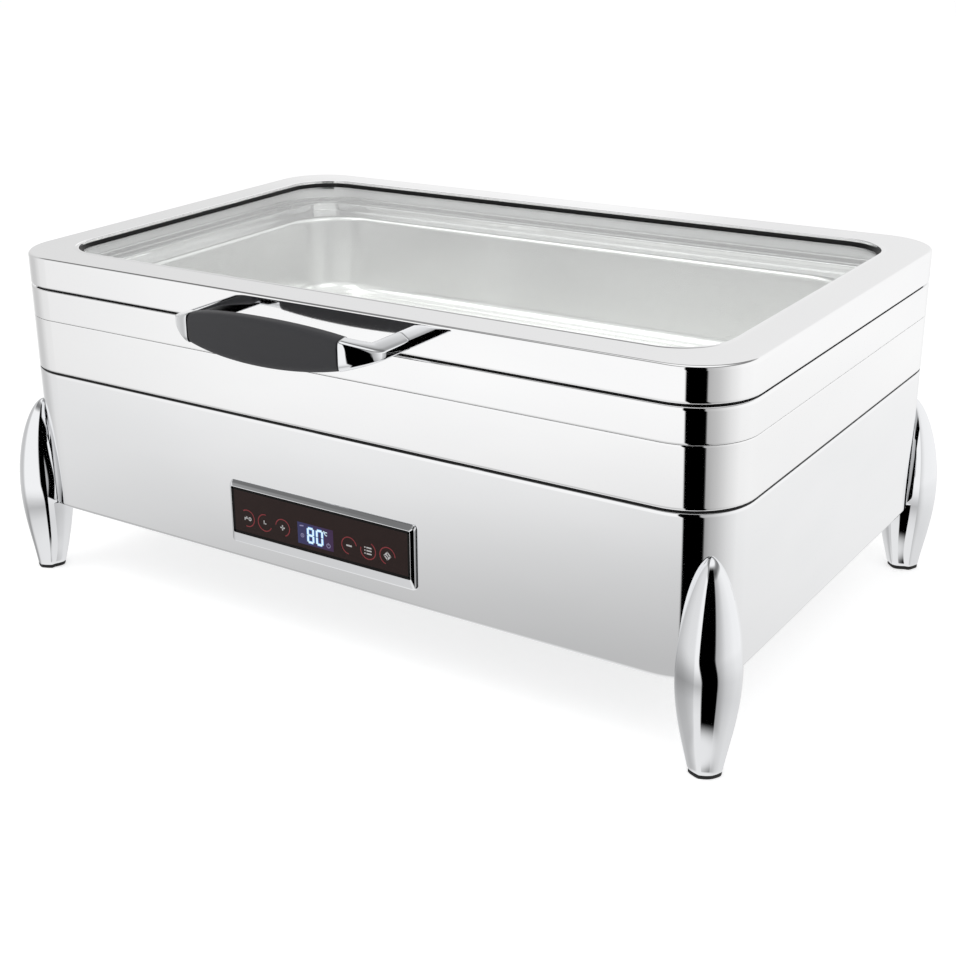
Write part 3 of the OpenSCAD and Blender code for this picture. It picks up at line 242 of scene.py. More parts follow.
def finish(name, colour, shade=None, rough=(0.4, 0.5), grain=2, bump=0.0, **sockets):
    """Principled finish. Over a noise of that grain in mm, colour goes to shade and roughness varies.

    grain is one number, or three for x, y and z;
    bump is the height of the grain in mm; sockets sets other inputs, such as metallic=1.
    """
    material = bpy.data.materials.new(name)
    material.use_nodes = True
    tree = material.node_tree
    tree.nodes.clear()
    where = add(tree, "ShaderNodeTexCoord")
    scaled = add(tree, "ShaderNodeMapping", {"Vector": where.outputs["Object"],
                                             "Scale": 1000 / np.broadcast_to(np.array(grain, float), 3)})
    noise = add(tree, "ShaderNodeTexNoise", {"Vector": scaled.outputs[0], "Scale": 1.0, "Detail": 3.0})
    gloss = add(tree, "ShaderNodeMapRange", {"Value": noise.outputs[0], "From Min": 0.3, "From Max": 0.7,
                                             "To Min": rough[0], "To Max": rough[1]})
    inputs = {"Base Color": linear(colour), "Roughness": gloss.outputs[0]}
    if shade:
        inputs["Base Color"] = mix(tree, noise.outputs[0], linear(colour), linear(shade))
    if bump:
        relief = add(tree, "ShaderNodeBump", {"Height": noise.outputs[0], "Distance": bump / 1000})
        inputs["Normal"] = relief.outputs[0]
    for key, value in sockets.items():
        inputs[key.replace("_", " ").title().replace("Ior", "IOR")] = value
    surface = add(tree, "ShaderNodeBsdfPrincipled", inputs)
    add(tree, "ShaderNodeOutputMaterial", {"Surface": surface.outputs[0]})
    return material


def metal(*looks):
    """A finish that is all metal."""
    return finish(*looks, metallic=1.0)


print("mid grey #808080 is", round(float(linear("#808080")[0]), 3), "in linear light")

# %% [markdown]
# ## The metals
# The visible sheets are stainless steel. The lid and the upper band are buffed to a mirror, the
# lower wall is left a little greyer, and the pans keep the fine brushed lines of their drawing
# press. Legs, handle ends and the panel frame are castings with a chrome plate: the same mirror,
# slightly bluer and with no grain at all.

# %% Metal finishes
# Buffed steel: a clean mirror, whose gloss varies softly over a hand's width.
mirror = metal("mirror_stainless_steel", "#fcfcfc", "#f7f7f8", (0.03, 0.06), (110, 110, 40))
# The lower wall gives the eye a greyer, softer mirror.
wall = metal("buffed_stainless_steel", "#f8f8f9", "#f2f3f4", (0.03, 0.06), (110, 110, 40))
# Drawn pans: fine lines along the length, which blur reflections into long soft bands.
drawn = metal("brushed_stainless_steel", "#fbfbfa", "#f3f3f1", (0.16, 0.27), (60, 0.5, 0.5), 0.004)
# Mill-finish sheet for parts that nobody polishes: even, grey and dull.
mill = metal("mill_finish_steel", "#c9cacb", "#bdbebf", (0.28, 0.4), (25, 1.5, 1.5), 0.003)
# Machined hinge steel: brighter than the sheet, with short tool marks.
bright = metal("machined_stainless_steel", "#d9dadb", "#cfd0d1", (0.14, 0.24), (8, 0.4, 0.4), 0.003)
# Zinc-plated screws: a slightly bluish grey.
zinc = metal("zinc_plated_steel", "#c3c7cb", "#b4b9bf", (0.25, 0.38), 1.5, 0.004)
# Chrome plate on the castings: a hard, clean mirror.
chrome = metal("chrome_plate", "#f3f4f6", "#eeeff1", (0.02, 0.05), 60)
# Cast heater plate: dull and grainy, as it leaves the mould.
cast = metal("cast_aluminium", "#b9babb", "#a5a6a8", (0.42, 0.58), 0.8, 0.03)
# The element's sheath darkens with heat.
sheath = metal("heat_tinted_alloy", "#5b524b", "#3f3a37", (0.35, 0.5), 6, 0.01)
# Turned brass for contacts and posts.
brass = metal("turned_brass", "#d8b36a", "#c69d52", (0.2, 0.32), (0.3, 3, 0.3), 0.003)
print("materials, with the plain CAD ones:", len(bpy.data.materials))

# %% [markdown]
# ## The plastics, rubbers and other stuff
# The grip has a soft-touch coat, so it looks black but scatters light like fine suede. Rubber and
# silicone are duller still. The panel is a printed glass: the print behind the glass is a very dark
# brown, and the glass in front adds a weak reflection.

# %% Other finishes
# Soft-touch coat: charcoal, matte, with a very fine pebble.
soft = finish("soft_touch_rubber", "#37373a", "#3e3e41", (0.5, 0.6), 0.25, 0.02, ior=1.45)
# Foot rubber: black and dull.
rubber = finish("black_rubber", "#151515", "#1d1d1d", (0.6, 0.75), 0.6, 0.03)
# Heat-proof silicone of the seals: black with a faint sheen.
silicone = finish("black_silicone", "#060606", "#0b0b0c", (0.38, 0.5), 1.2, 0.01, ior=1.3)
# Moulded plastic with a spark-eroded texture.
plastic = finish("moulded_black_plastic", "#19191a", "#222223", (0.42, 0.55), 0.5, 0.03)
# Damper barrels: smoother plastic.
damper = finish("black_acetal", "#141415", "#1b1b1c", (0.28, 0.36), 3, 0.004)
# Printed glass of the panel: very dark brown under a thin gloss.
panel_print = finish("dark_printed_glass", "#352725", "#322523", (0.08, 0.12), 20, ior=1.22)
# Red ink of the key rings, black paint along the glass's edges, which is the painted shadow line of the gap
# between glass and frame, and white ink of the signs: uneven, as screen print is.
red_ink = finish("red_screen_ink", "#a53139", "#83272e", (0.45, 0.55), 1.4)
gap_shade_paint = finish("painted_gap_shade", "#0b0a0a", "#100e0e", (0.3, 0.4), 1.4, ior=1.22)
white_ink = finish("white_screen_ink", "#e6e4e4", "#cfcdcd", (0.45, 0.55), 1.4)
# Steatite: off-white and slightly porous.
steatite = finish("steatite_ceramic", "#e6dfd0", "#d6cdbb", (0.5, 0.65), 0.7, 0.03)
# Needled glass fibre: pale, fluffy and fully matte.
fibre = finish("glass_fibre_mat", "#d9d5c6", "#c1bba6", (0.85, 0.95), (1.2, 1.2, 0.5), 0.3)
# Circuit board: green solder mask over a woven base.
board = finish("green_solder_mask", "#1e5a35", "#174a2b", (0.3, 0.4), 0.8, 0.01)
# Silicone wire sleeve: brick red, slightly ribbed.
sleeve = finish("red_silicone_sleeve", "#7a2f24", "#69271e", (0.45, 0.55), 3, 0.02)
print("materials by now:", len(bpy.data.materials))

# %% Glass of the lid
# Clear tempered glass: the faint green of the iron in it, and a mirror-like sheen at low angles.
GLASS_TINT = "#fbfdfc"
glass = finish("tempered_glass", GLASS_TINT, None, (0.0, 0.004), 200, transmission_weight=1.0,
               ior=1.5)
tree = glass.node_tree
path = add(tree, "ShaderNodeLightPath")
clear = add(tree, "ShaderNodeBsdfTransparent", {"Color": linear(GLASS_TINT)})
pane = add(tree, "ShaderNodeMixShader", {0: path.outputs["Is Shadow Ray"],
                                         1: tree.nodes["Principled BSDF"].outputs[0], 2: clear.outputs[0]})
tree.links.new(pane.outputs[0], tree.nodes["Material Output"].inputs["Surface"])
print("materials with the glass:", len(bpy.data.materials))


# %% [markdown]
# ## From shape to piece
# Each piece is a mesh with one finish. It rides on the body that carries it, the base or the lid.
# The engineering node that it stands for is then hidden, but stays in the model
# for the physics.

# %% Piece functions
def piece(name, shape, material, body="base", stands_for=(), sharp=32):
    """A mesh in millimetres as an object on a body, smooth except at edges steeper than sharp degrees."""
    points, faces = shape
    mesh = bpy.data.meshes.new(name)
    mesh.from_pydata((np.asarray(points) / 1000).tolist(), [], faces)
    mesh.shade_smooth()
    mesh.set_sharp_from_angle(angle=math.radians(sharp))
    mesh.materials.append(material)
    made = bpy.data.objects.new(name, mesh)
    bpy.context.scene.collection.objects.link(made)
    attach(made, body)
    if stands_for:
        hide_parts(*stands_for)
    return made


def baked(made, kind, **settings):
    """Applies a modifier to a piece, so that the mesh itself has its result."""
    change = made.modifiers.new(kind.lower(), kind)
    for key, value in settings.items():
        setattr(change, key, value)
    ready = bpy.data.meshes.new_from_object(made.evaluated_get(bpy.context.evaluated_depsgraph_get()))
    made.modifiers.clear()
    made.data = ready
    return made


def dressed(node, material, body="base", bevel=0.3, sharp=32):
    """A merged copy of a CAD node with eased edges, for plainer parts that can still be seen."""
    mesh = frame["nodes"][node].data.copy()
    shape = bmesh.new()
    shape.from_mesh(mesh)
    bmesh.ops.remove_doubles(shape, verts=shape.verts, dist=1e-5)
    bmesh.ops.dissolve_limit(shape, angle_limit=math.radians(1), verts=shape.verts, edges=shape.edges)
    shape.to_mesh(mesh)
    shape.free()
    mesh.materials.clear()
    mesh.materials.append(material)
    mesh.shade_smooth()
    mesh.set_sharp_from_angle(angle=math.radians(sharp))
    made = bpy.data.objects.new(node + "_dressed", mesh)
    bpy.context.scene.collection.objects.link(made)
    if bevel:
        baked(made, "BEVEL", width=bevel / 1000, segments=2, limit_method="ANGLE",
              angle_limit=math.radians(40), harden_normals=True)
    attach(made, body)
    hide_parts(node)
    return made


def boxes(places):
    """Boxes as one shape, each given by its lowest and highest corner."""
    low, high = (np.asarray(v, float)[:, None] for v in zip(*places))
    unit = np.array([[i & 1, i >> 1 & 1, i >> 2] for i in range(8)])
    sides = [[0, 2, 3, 1], [4, 5, 7, 6], [0, 1, 5, 4], [2, 6, 7, 3], [0, 4, 6, 2], [1, 3, 7, 5]]
    return (low + unit * (high - low)).reshape(-1, 3), [
        [i + 8 * k for i in f] for k in range(len(places)) for f in sides]


def inset(t, z):
    """A profile row of the body's outline, moved inwards by t, at height z."""
    return [half_w - t, half_d - t, max(CORNER - t, 1.0), z]


def strip(corners, row, closed=True, **settings):
    """Skin of a sheet: each corner of its profile has a distance for row, a height and a rounding."""
    rows = eased([row(t, z) for t, z, _ in corners], [r for _, _, r in corners], closed, **settings)
    return loft(rows, closed)


print("outline 10 mm inside the body:", inset(10, 0)[:3])


# %% [markdown]
# ## The lower wall
# The lower wall is one strip of steel, bent round four corners and welded. It has a flange at the
# bottom for the cover and another at the top for the tray that carries the heater. Openings for the
# panel, the mains inlet and a row of air slots are punched before bending, so here they are cut too.

# %% Lower housing
BASE_FLANGE, SEAM_FLANGE = 34.0, 16.0
SLOT_W, SLOT_PITCH, SLOT_COUNT, SLOT_FROM_INLET = 3.0, 9.0, 11, 120.0
SLOT_HALF_H = 20.0
PANEL_LAP = 5.0
PUNCH = 5.0                    # how far a punch reaches to each side of the wall

shape = strip([(0, z_base, 1.6), (0, z_seam, 1.8), (SEAM_FLANGE, z_seam, 0.3),
               (SEAM_FLANGE, z_seam - SHEET, 0.3), (SHEET, z_seam - SHEET, 0.3), (SHEET, z_base + SHEET, 0.6),
               (BASE_FLANGE, z_base + SHEET, 0.3), (BASE_FLANGE, z_base, 0.3)], inset)
housing = piece("lower_wall", shape, wall, stands_for=["lower_housing"])

inlet_x, inlet_z = mid("inlet_blades", 0), mid("mains_inlet", 2)
INLET_HALF = (13.9, 10.4)
glass_low, glass_high = span("panel_glass")
slot_x = inlet_x + SLOT_FROM_INLET + SLOT_PITCH * (np.arange(SLOT_COUNT) - SLOT_COUNT // 2)
openings = [([x - wide, back - PUNCH, inlet_z - tall], [x + wide, back + PUNCH, inlet_z + tall])
            for x, wide, tall in [(x, SLOT_W / 2, SLOT_HALF_H) for x in slot_x] + [(inlet_x, *INLET_HALF)]]
openings.append(([glass_low[0] + PANEL_LAP, front - PUNCH, glass_low[2] + PANEL_LAP],
                 [glass_high[0] - PANEL_LAP, front + PUNCH, glass_high[2] - PANEL_LAP]))
mesh = bpy.data.meshes.new("punch")
points, faces = boxes(openings)
mesh.from_pydata((points / 1000).tolist(), [], faces)
punch = bpy.data.objects.new("punch", mesh)
bpy.context.scene.collection.objects.link(punch)
baked(housing, "BOOLEAN", object=punch, operation="DIFFERENCE", solver="EXACT")
bpy.data.objects.remove(punch)
housing.data.set_sharp_from_angle(angle=math.radians(32))
print("lower wall:", len(housing.data.polygons), "faces,", len(openings), "openings")

# %% [markdown]
# ## The upper shell and the water pan
# The shell stands on the same seam and steps in at the top, where the skirt of the water pan slips
# over it. On the real dish this lets the pan lift out, and the joint shows only as a hairline.
# The pan itself is pressed from one sheet: rim, ledge for the food pan, and a deep basin.

# %% Upper shell and water pan
SKIRT_H = 23.0
SKIRT_GAP = 0.4               # below the skirt in the model; the dressed edge closes half of it
z_skirt = z_rim - SKIRT_H
z_step = z_skirt - SKIRT_GAP
TUCK = 1.6                     # how far the shell steps in behind the skirt
z_edge = z_step + SKIRT_GAP / 2
shape = strip([(0, z_shell, 0.9), (0, z_edge, 0.2), (TUCK, z_edge, 0.3), (TUCK, z_sleeve, 0.3),
               (TUCK + SHEET, z_sleeve, 0.3), (TUCK + SHEET, z_step - SHEET, 0.3), (SHEET, z_step - SHEET, 0.3),
               (SHEET, z_shell + SHEET, 0.3), (SEAM_FLANGE, z_shell + SHEET, 0.3), (SEAM_FLANGE, z_shell, 0.3)],
              inset)
piece("shell_band", shape, mirror, stands_for=["upper_shell"])
# The black strip in the seam is painted shade: it darkens the seam's shadow line and is no part of the dish.
SHADE_STRIP_DEPTH, SHADE_STRIP_END = 0.3, 1.9   # the black strip's face and back, measured into the seam
shape = strip([(SHADE_STRIP_DEPTH, z_seam, 0.2), (SHADE_STRIP_DEPTH, z_shell, 0.2), (SHADE_STRIP_END, z_shell, 0.1),
               (SHADE_STRIP_END, z_seam, 0.1)], inset)
piece("seam_painted_shade", shape, silicone)

PAN_CLEARANCE = 2.0
food_low, food_high = span("food_pan")
seat_w, seat_d = food_high[0] + PAN_CLEARANCE, (food_high[1] - food_low[1]) / 2 + PAN_CLEARANCE
LEDGE = 12.0
z_ledge = food_high[2] - SHEET
SEAT_CORNER, BASIN_CORNER = 24.0, 48.5
CAP_INSET = 40                 # a pan's bottom closes with a flat cap this far from its wall
basin_w, basin_d = seat_w - LEDGE, seat_d - LEDGE
cap_w, cap_d, CAP_CORNER = basin_w - CAP_INSET, basin_d - CAP_INSET, 30
rows = eased([[cap_w, cap_d, CAP_CORNER, z_basin], [basin_w + SHEET, basin_d + SHEET, BASIN_CORNER, z_basin],
              [basin_w + SHEET, basin_d + SHEET, BASIN_CORNER, z_ledge - SHEET],
              [seat_w + SHEET, seat_d + SHEET, SEAT_CORNER, z_ledge - SHEET],
              [seat_w + SHEET, seat_d + SHEET, SEAT_CORNER, z_rim - SHEET], inset(SHEET, z_rim - SHEET),
              inset(SHEET, z_skirt), inset(0, z_skirt), inset(0, z_rim), [seat_w, seat_d, SEAT_CORNER, z_rim],
              [seat_w, seat_d, SEAT_CORNER, z_ledge], [basin_w, basin_d, BASIN_CORNER, z_ledge],
              [basin_w, basin_d, BASIN_CORNER, z_basin + SHEET], [cap_w, cap_d, CAP_CORNER, z_basin + SHEET]],
             [0, 8, 0.5, 0.5, 0.3, 0.3, 0.3, 0.2, 1.4, 0.8, 0.5, 1.2, 7, 0], closed=False)
piece("water_bath", loft(rows, closed=False), mirror, stands_for=["water_pan"])
print("water pan", round(2 * basin_w), "x", round(2 * basin_d), "x", round(z_ledge - z_basin), "mm")

# %% [markdown]
# ## The food pan
# The food pan is a standard deep-drawn tray. Its walls lean in a little, so that pans stack and the
# press can let go, and its corners are wide, so that a spoon can reach everything. It stands empty
# here, so the fine brushed lines of its bottom can be seen through the lid.

# %% Food pan
WALL_DRAFT = 9.0
PAN_CORNER, WELL_CORNER = 22.0, 45.0
WELL_LIP = 13.5
rim_w, rim_d = food_high[0], (food_high[1] - food_low[1]) / 2
well_w, well_d = rim_w - WELL_LIP, rim_d - WELL_LIP
foot_w, foot_d = well_w - WALL_DRAFT, well_d - WALL_DRAFT
foot_corner = WELL_CORNER - WALL_DRAFT
cap_w, cap_d, CAP_CORNER = foot_w - CAP_INSET, foot_d - CAP_INSET, 20
z_pan, z_pan_rim = food_low[2], food_high[2]
rows = eased([[cap_w, cap_d, CAP_CORNER, z_pan], [foot_w + SHEET, foot_d + SHEET, foot_corner, z_pan],
              [well_w + SHEET, well_d + SHEET, WELL_CORNER, z_pan_rim - SHEET],
              [rim_w, rim_d, PAN_CORNER, z_pan_rim - SHEET], [rim_w, rim_d, PAN_CORNER, z_pan_rim],
              [well_w, well_d, WELL_CORNER, z_pan_rim], [foot_w, foot_d, foot_corner, z_pan + SHEET],
              [cap_w, cap_d, CAP_CORNER, z_pan + SHEET]],
             [0, 9, 2, 0.5, 0.5, 2.6, 8, 0], closed=False)
piece("food_tray", loft(rows, closed=False), drawn, stands_for=["food_pan"])
print("pan well", round(2 * well_w), "x", round(2 * well_d), "x", round(z_pan_rim - z_pan), "mm")

# %% [markdown]
# ## The lid
# The lid is a deep frame with a window. Its outer edge is rolled over a small radius, which shows as
# a fine line all round it. At the window the sheet rises a little and then turns down to the glass.
# A black silicone bead seals the glass; a mirror lid shows that bead as a dark line.

# %% Lid frame, glass and seal
HEM = 9.0
TOP_ROUND = 1.8
RIM_W, RIM_SLOPE, RIM_H = 2.8, 1.4, 0.4   # a slightly raised rim round the window
z_lip = span("glass_seal")[1][2]
border = half_w - window_w


def band(t, z):
    """A profile row of the lid: t from the outer edge, its corners blending into the window's."""
    return [half_w - t, half_d - t, CORNER + (WINDOW_CORNER - CORNER) * t / border, z]


shape = strip([(0, z_lid, 0.9), (0, z_top, TOP_ROUND), (border - RIM_W, z_top, 0.5),
               (border - RIM_W + RIM_SLOPE, z_top + RIM_H, 0.5), (border, z_top + RIM_H, 0.5),
               (border, z_lip, 0.2), (border - SHEET, z_lip, 0.2), (border - SHEET, z_top - SHEET, 0.3),
               (SHEET, z_top - SHEET, 1.0), (SHEET, z_lid + SHEET, 0.3), (HEM, z_lid + SHEET, 0.3),
               (HEM, z_lid, 0.3)], band, steps=9)
piece("lid_cover", shape, mirror, "lid", ["lid_frame"])


def pane_row(t, z):
    """A profile row round the window, moved outwards by t."""
    return [window_w + t, window_d + t, WINDOW_CORNER + t, z]


PANE_EASE, PANE_CAP = 0.9, -12
shape = strip([(PANE_CAP, z_glass, 0), (GLASS_LAP, z_glass, PANE_EASE), (GLASS_LAP, z_pane, PANE_EASE),
               (PANE_CAP, z_pane, 0)], pane_row, closed=False)
piece("lid_pane", shape, glass, "lid", ["lid_glass"])

SEAL_W, SEAL_SKIN = 10.5, z_lip - z_pane
BEAD_W, BEAD_TOP, BEAD_CREST = 3.2, 1.7, 0.7
LIP_CLEARANCE = 0.05
shape = strip([(0, z_glass - SEAL_SKIN, 0.2), (SEAL_W, z_glass - SEAL_SKIN, 0.2),
               (SEAL_W, z_pane + SEAL_SKIN, 0.2), (-LIP_CLEARANCE, z_pane + SEAL_SKIN, 0.02),
               (-LIP_CLEARANCE, z_pane + BEAD_TOP, 0.1),
               (-BEAD_CREST, z_pane + BEAD_TOP, 0.3), (-BEAD_W, z_pane, 0.1), (GLASS_LAP, z_pane, 0.02),
               (GLASS_LAP, z_glass, 0.02), (0, z_glass, 0.2)], pane_row)
piece("window_seal", shape, silicone, "lid", ["glass_seal"])
dressed("lid_gasket", silicone, "lid", 0.3)
dressed("glass_retainer", mill, "lid", 0.25)
print("lid border", round(border, 1), "mm, glass", round(z_pane - z_glass, 1), "mm thick")

# %% [markdown]
# ## The legs
# Each leg is a cast shuttle: an almond that clasps a corner of the body, with a hollow back below
# it where the casting is open. Its outline is round above the widest point and tapers slowly below.
# Outside, the section has a soft keel between two nearly flat cheeks: flat cheeks mirror one board
# of the studio each, and the keel gathers everything between them into one dark strip.

# %% Shape of a leg
LEG_WAIST = 66.0
# Half width and reach as (share of the height below the tip) ^ power times a polynomial of that share.
LEG_HALF = (0.6, (57.76, -106.58, 38.73, -22.32, 43.03))
LEG_REACH = (0.583, (52.04, -82.93, 21.81, -25.4, 52.21))
UNDERCUT = 0.72                # slope of the chamfer behind the widest line
# Radius of the section, in half widths, by the angle of its normal: a soft keel, flat cheeks, a tight
# turn, flat flanks and a rounded edge.
CHEEK_ANGLE = (0, 7, 11, 24, 31, 56, 63, 72, 78, 90)
CHEEK_RADIUS = (0.81, 0.81, 1.66, 1.66, 0.24, 0.24, 2.34, 2.34, 0.68, 0.68)
PAD_H = 2.5
LEG_POINTS = 112               # points round each section
CLASP_GAP = 0.1                # between the leg and the body's corner
FOOT_RISE = (0, 0.25, 0.8, 1.8)
FOOT_TRIM = (0.9, 0.955, 0.985, 0.998)   # the foot's edge is rounded by these shares
leg_tip = span("leg_front_right")[1][2]


def leg_shape():
    """A leg about its corner: u runs outwards along the diagonal, t across it, z up.

    Half width h and reach are s^p P(s), where s is the share of the height below the tip. Outside, the
    section is summed up from its radius r(a) at each angle a of its normal: dt = h r cos a da and
    du = -h r sin a da, then a chamfer back to the crease c. Inside, it is the hollow
    u = c - (c - i)(1 - q^4), and above the body's lower edge the body's own corner arc,
    u = root(R^2 - t^2) - R.
    """
    low = np.r_[PAD_H + np.array(FOOT_RISE), np.linspace(PAD_H + 3.5, z_base - 0.5, 26)]
    high = np.r_[z_base - 0.1, np.linspace(z_base + 2, LEG_WAIST, 4),
                 LEG_WAIST + (leg_tip - LEG_WAIST) * np.sin(np.linspace(0, math.pi / 2, 40)[1:] * 0.992)]
    z = np.r_[low, high][:, None]
    down = np.clip((LEG_WAIST - z) / LEG_WAIST, 0, 1)
    up = np.clip((z - LEG_WAIST) / (leg_tip - LEG_WAIST), 0, 1)
    share = (leg_tip - z) / leg_tip
    half, reach = (share ** power * np.polyval(terms, share) for power, terms in (LEG_HALF, LEG_REACH))
    outer = CLASP_GAP + reach
    crease = np.where(up > 0, -0.4 * (1 - up), 5.6 * down ** 4.5 - 0.4)
    inner = -16 + 12.7 * down ** 1.47
    angle, q = np.radians(np.linspace(0, 90, 361)), np.linspace(1, -1, 17)[None, 1:-1]
    radius = np.interp(np.degrees(angle), CHEEK_ANGLE, CHEEK_RADIUS)
    wide, deep = (np.cumsum(radius * part) for part in (np.cos(angle), np.sin(angle)))
    pick = np.linspace(0, 360, 46).astype(int)
    wide, deep = wide[pick] - wide[0], deep[pick] / (wide[-1] - wide[0])
    wide, deep = np.r_[-wide[:0:-1], wide] / wide[-1], np.r_[deep[:0:-1], deep]
    last = outer - half * deep[-1]
    flank = crease + (last - crease) * np.array([0, 0.34, 0.67])[None]
    narrow = half - UNDERCUT * (last - flank)
    across = narrow[:, :1] * q
    t = np.concatenate([-narrow, half * wide, narrow[:, ::-1], across], 1)
    hollow = crease - (crease - inner) * (1 - q ** 4)
    clasp = np.sqrt(CORNER ** 2 - across ** 2) - CORNER + CLASP_GAP
    back_side = np.where(z < z_base - 0.3, hollow, clasp)
    u = np.concatenate([flank, outer - half * deep, flank[:, ::-1], back_side], 1)
    trim = np.ones_like(z)
    trim[:4, 0] = FOOT_TRIM
    centre = (crease + outer) / 2
    return skin(centre + (u - centre) * trim, t * trim, z + 0 * u)


print("points of a leg:", len(leg_shape()[0]))


# %% Legs and foot pads
def at_corner(shape, sx, sy):
    """A shape in leg coordinates, turned and moved to one corner of the body."""
    points, faces = shape
    d = np.array([sx, sy]) / math.sqrt(2)
    apex = np.array([sx * (half_w - CORNER), middle + sy * (half_d - CORNER)]) + CORNER * d
    plan = apex + points[:, :1] * d + points[:, 1:2] * np.array([-d[1], d[0]])
    return np.column_stack([plan, points[:, 2]]), faces


corners = {"front_left": (-1, -1), "front_right": (1, -1), "rear_left": (-1, 1), "rear_right": (1, 1)}
for name, (sx, sy) in corners.items():
    piece("leg_shuttle_" + name, at_corner(leg_shape(), sx, sy), chrome,
          stands_for=["leg_" + name], sharp=14)
# Each rubber repeats the outline of its leg's foot, slightly smaller, down to the floor.
foot = leg_shape()[0].reshape(-1, LEG_POINTS, 3)[2]
PAD_SHARE = 0.97
size, drop = np.array([0.9, 0.97, 1, 1])[:, None], np.array([0, 0.25, 0.8, PAD_H])[:, None]
foot_mid = foot[:, 0].mean()
rubber_shape = skin(foot_mid + (foot[:, 0] - foot_mid) * size * PAD_SHARE, foot[:, 1] * size * PAD_SHARE,
                    drop + 0 * foot[:, 0])
piece("foot_rubbers", joined([at_corner(rubber_shape, *c) for c in corners.values()]), rubber,
      stands_for=["foot_pads"])
print("leg height", round(leg_tip, 1), "mm")

# %% [markdown]
# ## The handle
# Seen from the front, the handle is one long lens: a soft black grip between two chrome ends that
# bend back to the lid. Half its height at x is h - a x^2 - b x^4: nearly a lens of two circles, with
# slightly fuller shoulders. The grip also bows forward a little in plan, to suit a hand.

# %% Grip and handle ends
grip_low, grip_high = span("handle_grip")
GRIP_HALF = grip_high[0]
handle_z = mid("handle_grip", 2)
grip_front = grip_low[1]
LENS_H, LENS_A, LENS_B = 15.75, 1.172e-3, 8.59e-8
GRIP_T, END_T, BOW = 14.6, 12.0, 5.0
BEND_R = 18.0
SQUARE, END_SQUARE = 2 / 3.5, 2 / 5.5   # exponents of the rounded sections
GROOVE = 0.35                  # dark line between grip and chrome


def lens(x):
    """Half height of the handle at x."""
    return LENS_H - LENS_A * x ** 2 - LENS_B * x ** 4


turn = np.linspace(0, 2 * math.pi, 64, endpoint=False)[None]


def rounded(power):
    """A squarish ring of half size 1: (cos t) ^ power across and (sin t) ^ power up, with their signs."""
    return (np.sign(wave) * np.abs(wave) ** power for wave in (np.cos(turn), np.sin(turn)))


fat, tall = rounded(SQUARE)
edge = GRIP_HALF - GROOVE
x = np.r_[edge - np.array([0, 0.15, 0.6]), np.linspace(edge - 1.2, -edge + 1.2, 49),
          np.array([0.6, 0.15, 0]) - edge][:, None]
trim = np.ones_like(x)
trim[[0, 1, -2, -1], 0] = [0.93, 0.98, 0.98, 0.93]
axis_y = grip_front + BOW * (x / GRIP_HALF) ** 2 + GRIP_T / 2
shape = skin(x + 0 * turn, axis_y - GRIP_T / 2 * fat * trim, handle_z + lens(x) * tall * trim)
piece("grip_sleeve", shape, soft, "lid", ["handle_grip"])

end_front = grip_front + BOW
# The end leaves the grip at its slant, runs nearly straight and then turns sharply into the arm.
along = np.linspace(0, 1, 60)
normal = np.radians(np.interp(along, [0, 0.16, 0.8, 1], [9, 25, 41, 90]))
step_x, step_y = np.cumsum(np.cos(normal)), np.cumsum(np.sin(normal))
stride = BEND_R / (step_x[-1] - step_x[0])
path_x = GRIP_HALF + stride * (step_x - step_x[0])
path_y = end_front + END_T / 2 + stride * (step_y - step_y[0])
path_x = np.r_[path_x, np.full(20, path_x[-1])]
path_y = np.r_[path_y, np.linspace(path_y[-1], front, 21)[1:]]
normal = np.r_[normal, np.full(20, math.pi / 2)]
trim = np.ones((len(path_x), 1))
trim[0] = 0.97
fat, tall = rounded(END_SQUARE)
offset = END_T / 2 * fat * trim
end_x = path_x[:, None] + offset * np.sin(normal)[:, None]
end_y = path_y[:, None] - offset * np.cos(normal)[:, None]
end_z = handle_z + lens(end_x) * tall * trim
piece("handle_bend_right", skin(end_x[::-1], end_y[::-1], end_z[::-1]), chrome, "lid",
      ["handle_end_right"], sharp=40)
piece("handle_bend_left", skin(-end_x, end_y, end_z), chrome, "lid",
      ["handle_end_left"], sharp=40)
print("grip", round(2 * GRIP_HALF), "mm long,", round(2 * float(lens(0.0)), 1), "mm high")

# %% [markdown]
# ## The control panel
# The panel is a strip of printed glass in a bevelled chrome frame. Its lower bevel is deeper than
# the upper one and works as a chin that throws drips clear. Touch keys need no moving parts: each is
# a red broken ring printed on the glass with a white sign inside it.

# %% Panel frame and glass
bezel_low, bezel_high = span("panel_bezel")
glass_half_w, glass_half_h = glass_high[0], (glass_high[2] - glass_low[2]) / 2
bezel_mid, bezel_half_h = mid("panel_bezel", 2), (bezel_high[2] - bezel_low[2]) / 2
proud, glass_proud = front - bezel_low[1], front - glass_low[1]
FRAME_FOOT, FRAME_RIDGE, FRAME_LIP, GLASS_FIT = 0.6, 2.4, 0.3, 0.1
RIDGE_TOP, RIDGE_CHIN = 1.85, 0.6   # how far the ridge lies inside the frame, above and below


def upright(rows, closed):
    """Skin through upright rounded rectangles; the row's height is how far it stands out from the wall."""
    x, z = ring(rows[:, 0], rows[:, 1], rows[:, 2], arc=6, ease=0.4)
    return skin(x, front - rows[:, 3:4] + 0 * x, z + rows[:, 4:5], closed)


